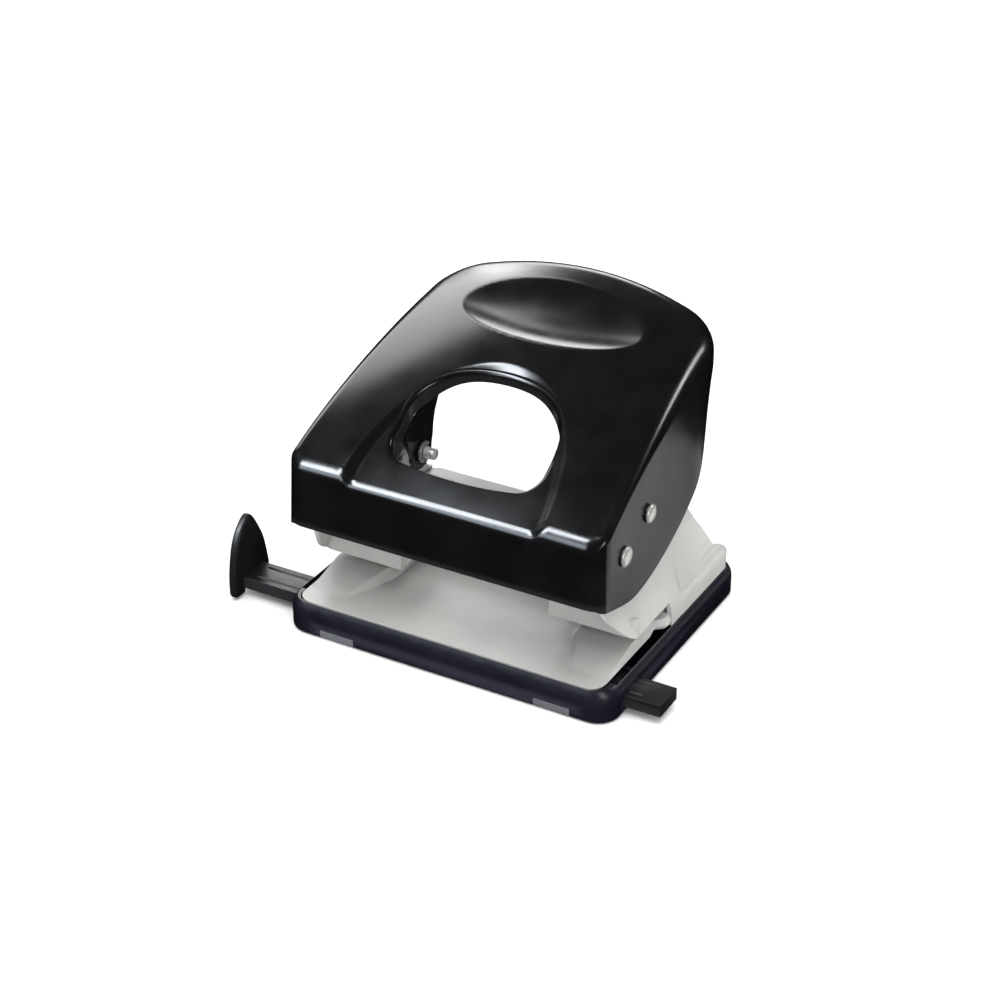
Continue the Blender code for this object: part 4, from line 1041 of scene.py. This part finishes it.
def make_springs():
    """Return springs, one coiled round each punch above its guide."""
    low, high = box_mm("return_spring_right")
    spring = coil("coil_spring_right", low.z + WIRE_R, high.z - WIRE_R)
    pair = both_sides(spring, "return_spring_right", "spring_steel", "base")
    for obj, side, name in zip(pair, (1, -1), ("right", "left")):
        obj.modifiers.clear()
        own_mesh(obj)


def dome(radius, base, height, steps):
    """Profile of a low dome, from just inside its brim to its middle."""
    found = []
    for k in range(1, steps + 1):
        angle = math.pi / 2 * k / steps
        found.append((radius * math.cos(angle) if k < steps else 0, base + height * math.sin(angle)))
    return found


PIN_HEAD, STUD_DOME = 1.4, 0.85
PINS = [  # name, radius, head radius, groove's x, body
    ("pivot", 2.5, 3.4, 50.5, "base"), ("drive", 2.0, 3.1, 24.4, "handle"),
]


def make_pin(name, node, radius, head_radius, groove):
    """A pin with a low domed head outside the handle, a chamfered end and a groove for its ring."""
    low, high = box_mm(node)
    centre = middle(node).yz
    head, brim, waist = high.x - PIN_HEAD, PIN_HEAD / 4, radius - 0.5
    profile = [(0, low.x), (radius - 0.45, low.x), (radius - 0.15, low.x + 0.15), (radius, low.x + 0.45)]
    profile += [(radius, groove), (waist, groove), (waist, groove + 1.0), (radius, groove + 1.0)]
    profile += [(radius, head), (head_radius - 0.15, head), (head_radius, head + 0.15)]
    profile += [(head_radius, head + brim)] + dome(head_radius, head + brim, PIN_HEAD - brim, 10)
    return turned(name, profile, "X", centre)


def make_pins():
    """The pivot and drive pins, each with the open ring that holds its inner end."""
    for name, radius, head_radius, groove, body in PINS:
        node = f"{name}_pin_right"
        pin = make_pin(f"{name}_axle_right", node, radius, head_radius, groove)
        both_sides(pin, node, "pin_steel", body, smooth_angle=40)
        ring_low, ring_high = box_mm(f"{name}_ring_right")
        inner, outer = radius - 0.38, radius + 1.7
        centre = middle(node).yz
        outline = arc(centre, outer, 40, 320, 48) + arc(centre, inner, 320, 40, 48)
        ring = rounded(prism(f"{name}_clip_right", outline, ring_low.x, ring_high.x, "X"), 0.12, 2, 35)
        both_sides(ring, f"{name}_ring_right", "spring_steel", body)


def make_washers():
    low, high = box_mm("pivot_washer_right")
    disc = rod("nylon_washer_right", (high.z - low.z) / 2, low.x, high.x, "X", PIVOT)
    rounded(cut(disc, rod("bore", PIVOT_HOLE_R, low.x - 1, high.x + 1, "X", PIVOT)), 0.15, 2, 50)
    both_sides(disc, "pivot_washer_right", "washer_plastic", "base")


def make_rivets():
    """Domed rivets: two hold each frame to the deck, two hold each upper guide to its wall."""
    for kind, axis, radius, head_radius in (("base", "Z", 1.5, 2.9), ("guide", "X", 1.1, 2.1)):
        for number in (1, 2):
            node = f"{kind}_rivet_right_{number}"
            low, high = box_mm(node)
            place = middle(node)
            centre = (place.x, place.y) if axis == "Z" else (place.y, place.z)
            start, end = (low.z, high.z) if axis == "Z" else (low.x, high.x)
            under, brim = start + 0.7, end - STUD_DOME
            profile = [(0, start), (head_radius - 0.5, start), (head_radius - 0.1, under - 0.25)]
            profile += [(head_radius - 0.1, under), (radius, under), (radius, brim), (head_radius, brim)]
            profile += dome(head_radius, brim, STUD_DOME, 8)
            rivet = turned(f"{kind}_stud_right_{number}", profile, axis, centre, 48)
            both_sides(rivet, node, "pin_steel", "base", smooth_angle=40)


# ---- stage
CENTRE = Vector((-0.0089, 0.0090, 0.0362))
CAMERA_PLACE, CAMERA_LENS, SENSOR_WIDTH = (0.3299, -0.5949, 0.4329), 85.5, 36.0
FLOOR_HALF, FLOOR_DROP, WORLD_STRENGTH = 6.0, 0.0002, 0.95
WHITE, COOL, BLUISH = (1, 1, 1), (0.88, 0.94, 1.0), (0.8, 0.9, 1.0)
GLOSS_LIGHTS = [  # name, direction from the middle, distance, size, power, colour
    ("rear_left_softbox", (-0.70, 0.42, 0.57), 1.2, (0.8, 0.6), 8, WHITE),
    ("rear_backdrop", (-0.42, 0.80, 0.40), 1.2, (0.55, 0.28), 3, WHITE),
    ("rear_right_strip", (0.59, 0.62, 0.50), 1.2, (0.3, 0.2), 2.5, WHITE),
    ("front_left_strip", (-0.42, -0.52, 0.70), 1.2, (0.3, 0.7), 22, COOL),
    ("low_front_softbox", (-0.43, -0.81, 0.40), 1.0, (0.5, 0.36), 4.5, BLUISH),
]
CARD_PLACE = (0.150, 0.085, 0.0005)


def area_light(name, direction, distance, size, power, colour=WHITE):
    """A rectangular light that faces the middle of the punch and that the camera doesn't see."""
    data = bpy.data.lights.new(name, "AREA")
    data.shape = "RECTANGLE"
    data.size, data.size_y = size
    data.energy, data.color = power, colour
    light = linked(name, data)
    light.location = CENTRE + Vector(direction).normalized() * distance
    light.rotation_euler = (CENTRE - light.location).to_track_quat("-Z", "Y").to_euler()
    light.visible_camera = False
    return light


def make_floor():
    """Pale paper under the punch, which reflections don't show."""
    half = FLOOR_HALF
    corners = [(-half, -half, 0), (half, -half, 0), (half, half, 0), (-half, half, 0)]
    mesh = bpy.data.meshes.new("studio_floor")
    mesh.from_pydata(corners, [], [(0, 1, 2, 3)])
    floor = linked("studio_floor", mesh)
    floor.location.z = -FLOOR_DROP
    paper = Finish("pale_paper", (0.86, 0.86, 0.86), 0.9, level=0.1)
    paper.mottled(4, (0.85, 0.85, 0.85))
    mesh.materials.append(paper.material)
    floor.visible_glossy = False


def make_world():
    world = bpy.data.worlds.new("studio")
    world.use_nodes = True
    background = world.node_tree.nodes["Background"]
    background.inputs["Color"].default_value = (1.0, 1.0, 1.0, 1.0)
    background.inputs["Strength"].default_value = WORLD_STRENGTH
    world.cycles_visibility.glossy = False
    bpy.context.scene.world = world


def make_lights():
    """Softboxes seen only in reflections, one that does both, and a fill that reflections don't show."""
    for values in GLOSS_LIGHTS:
        area_light(*values).visible_diffuse = False
    area_light("right_softbox", (0.75, -0.55, 0.30), 1.3, (0.5, 0.4), 4)
    area_light("top_fill", (0.1, -0.2, 1.0), 1.6, (1.6, 1.6), 30).visible_glossy = False

    card = area_light("right_floor_card", (0, 0, -1), 0.5, (0.13, 0.17), 0.05)
    card.visible_diffuse = False
    card.location = CARD_PLACE
    card.rotation_euler = (math.pi, 0, 0)


def make_camera():
    data = bpy.data.cameras.new("camera")
    data.lens, data.sensor_width = CAMERA_LENS, SENSOR_WIDTH
    data.clip_start, data.clip_end = 0.01, 20.0
    camera = linked("camera", data)
    camera.location = CAMERA_PLACE
    camera.rotation_euler = (CENTRE - camera.location).to_track_quat("-Z", "Y").to_euler()
    bpy.context.scene.camera = camera
    bpy.context.scene.view_settings.view_transform = "Standard"


def main():
    makers = (
        make_handle, make_base_plate, make_tray, make_feet, make_guide_bar, make_frames, make_upper_guides,
        make_punches, make_springs, make_pins, make_washers, make_rivets, make_drive_lugs, make_floor,
        make_world, make_lights, make_camera,
    )
    for make in makers:
        make()


main()
bpy.context.view_layer.update()
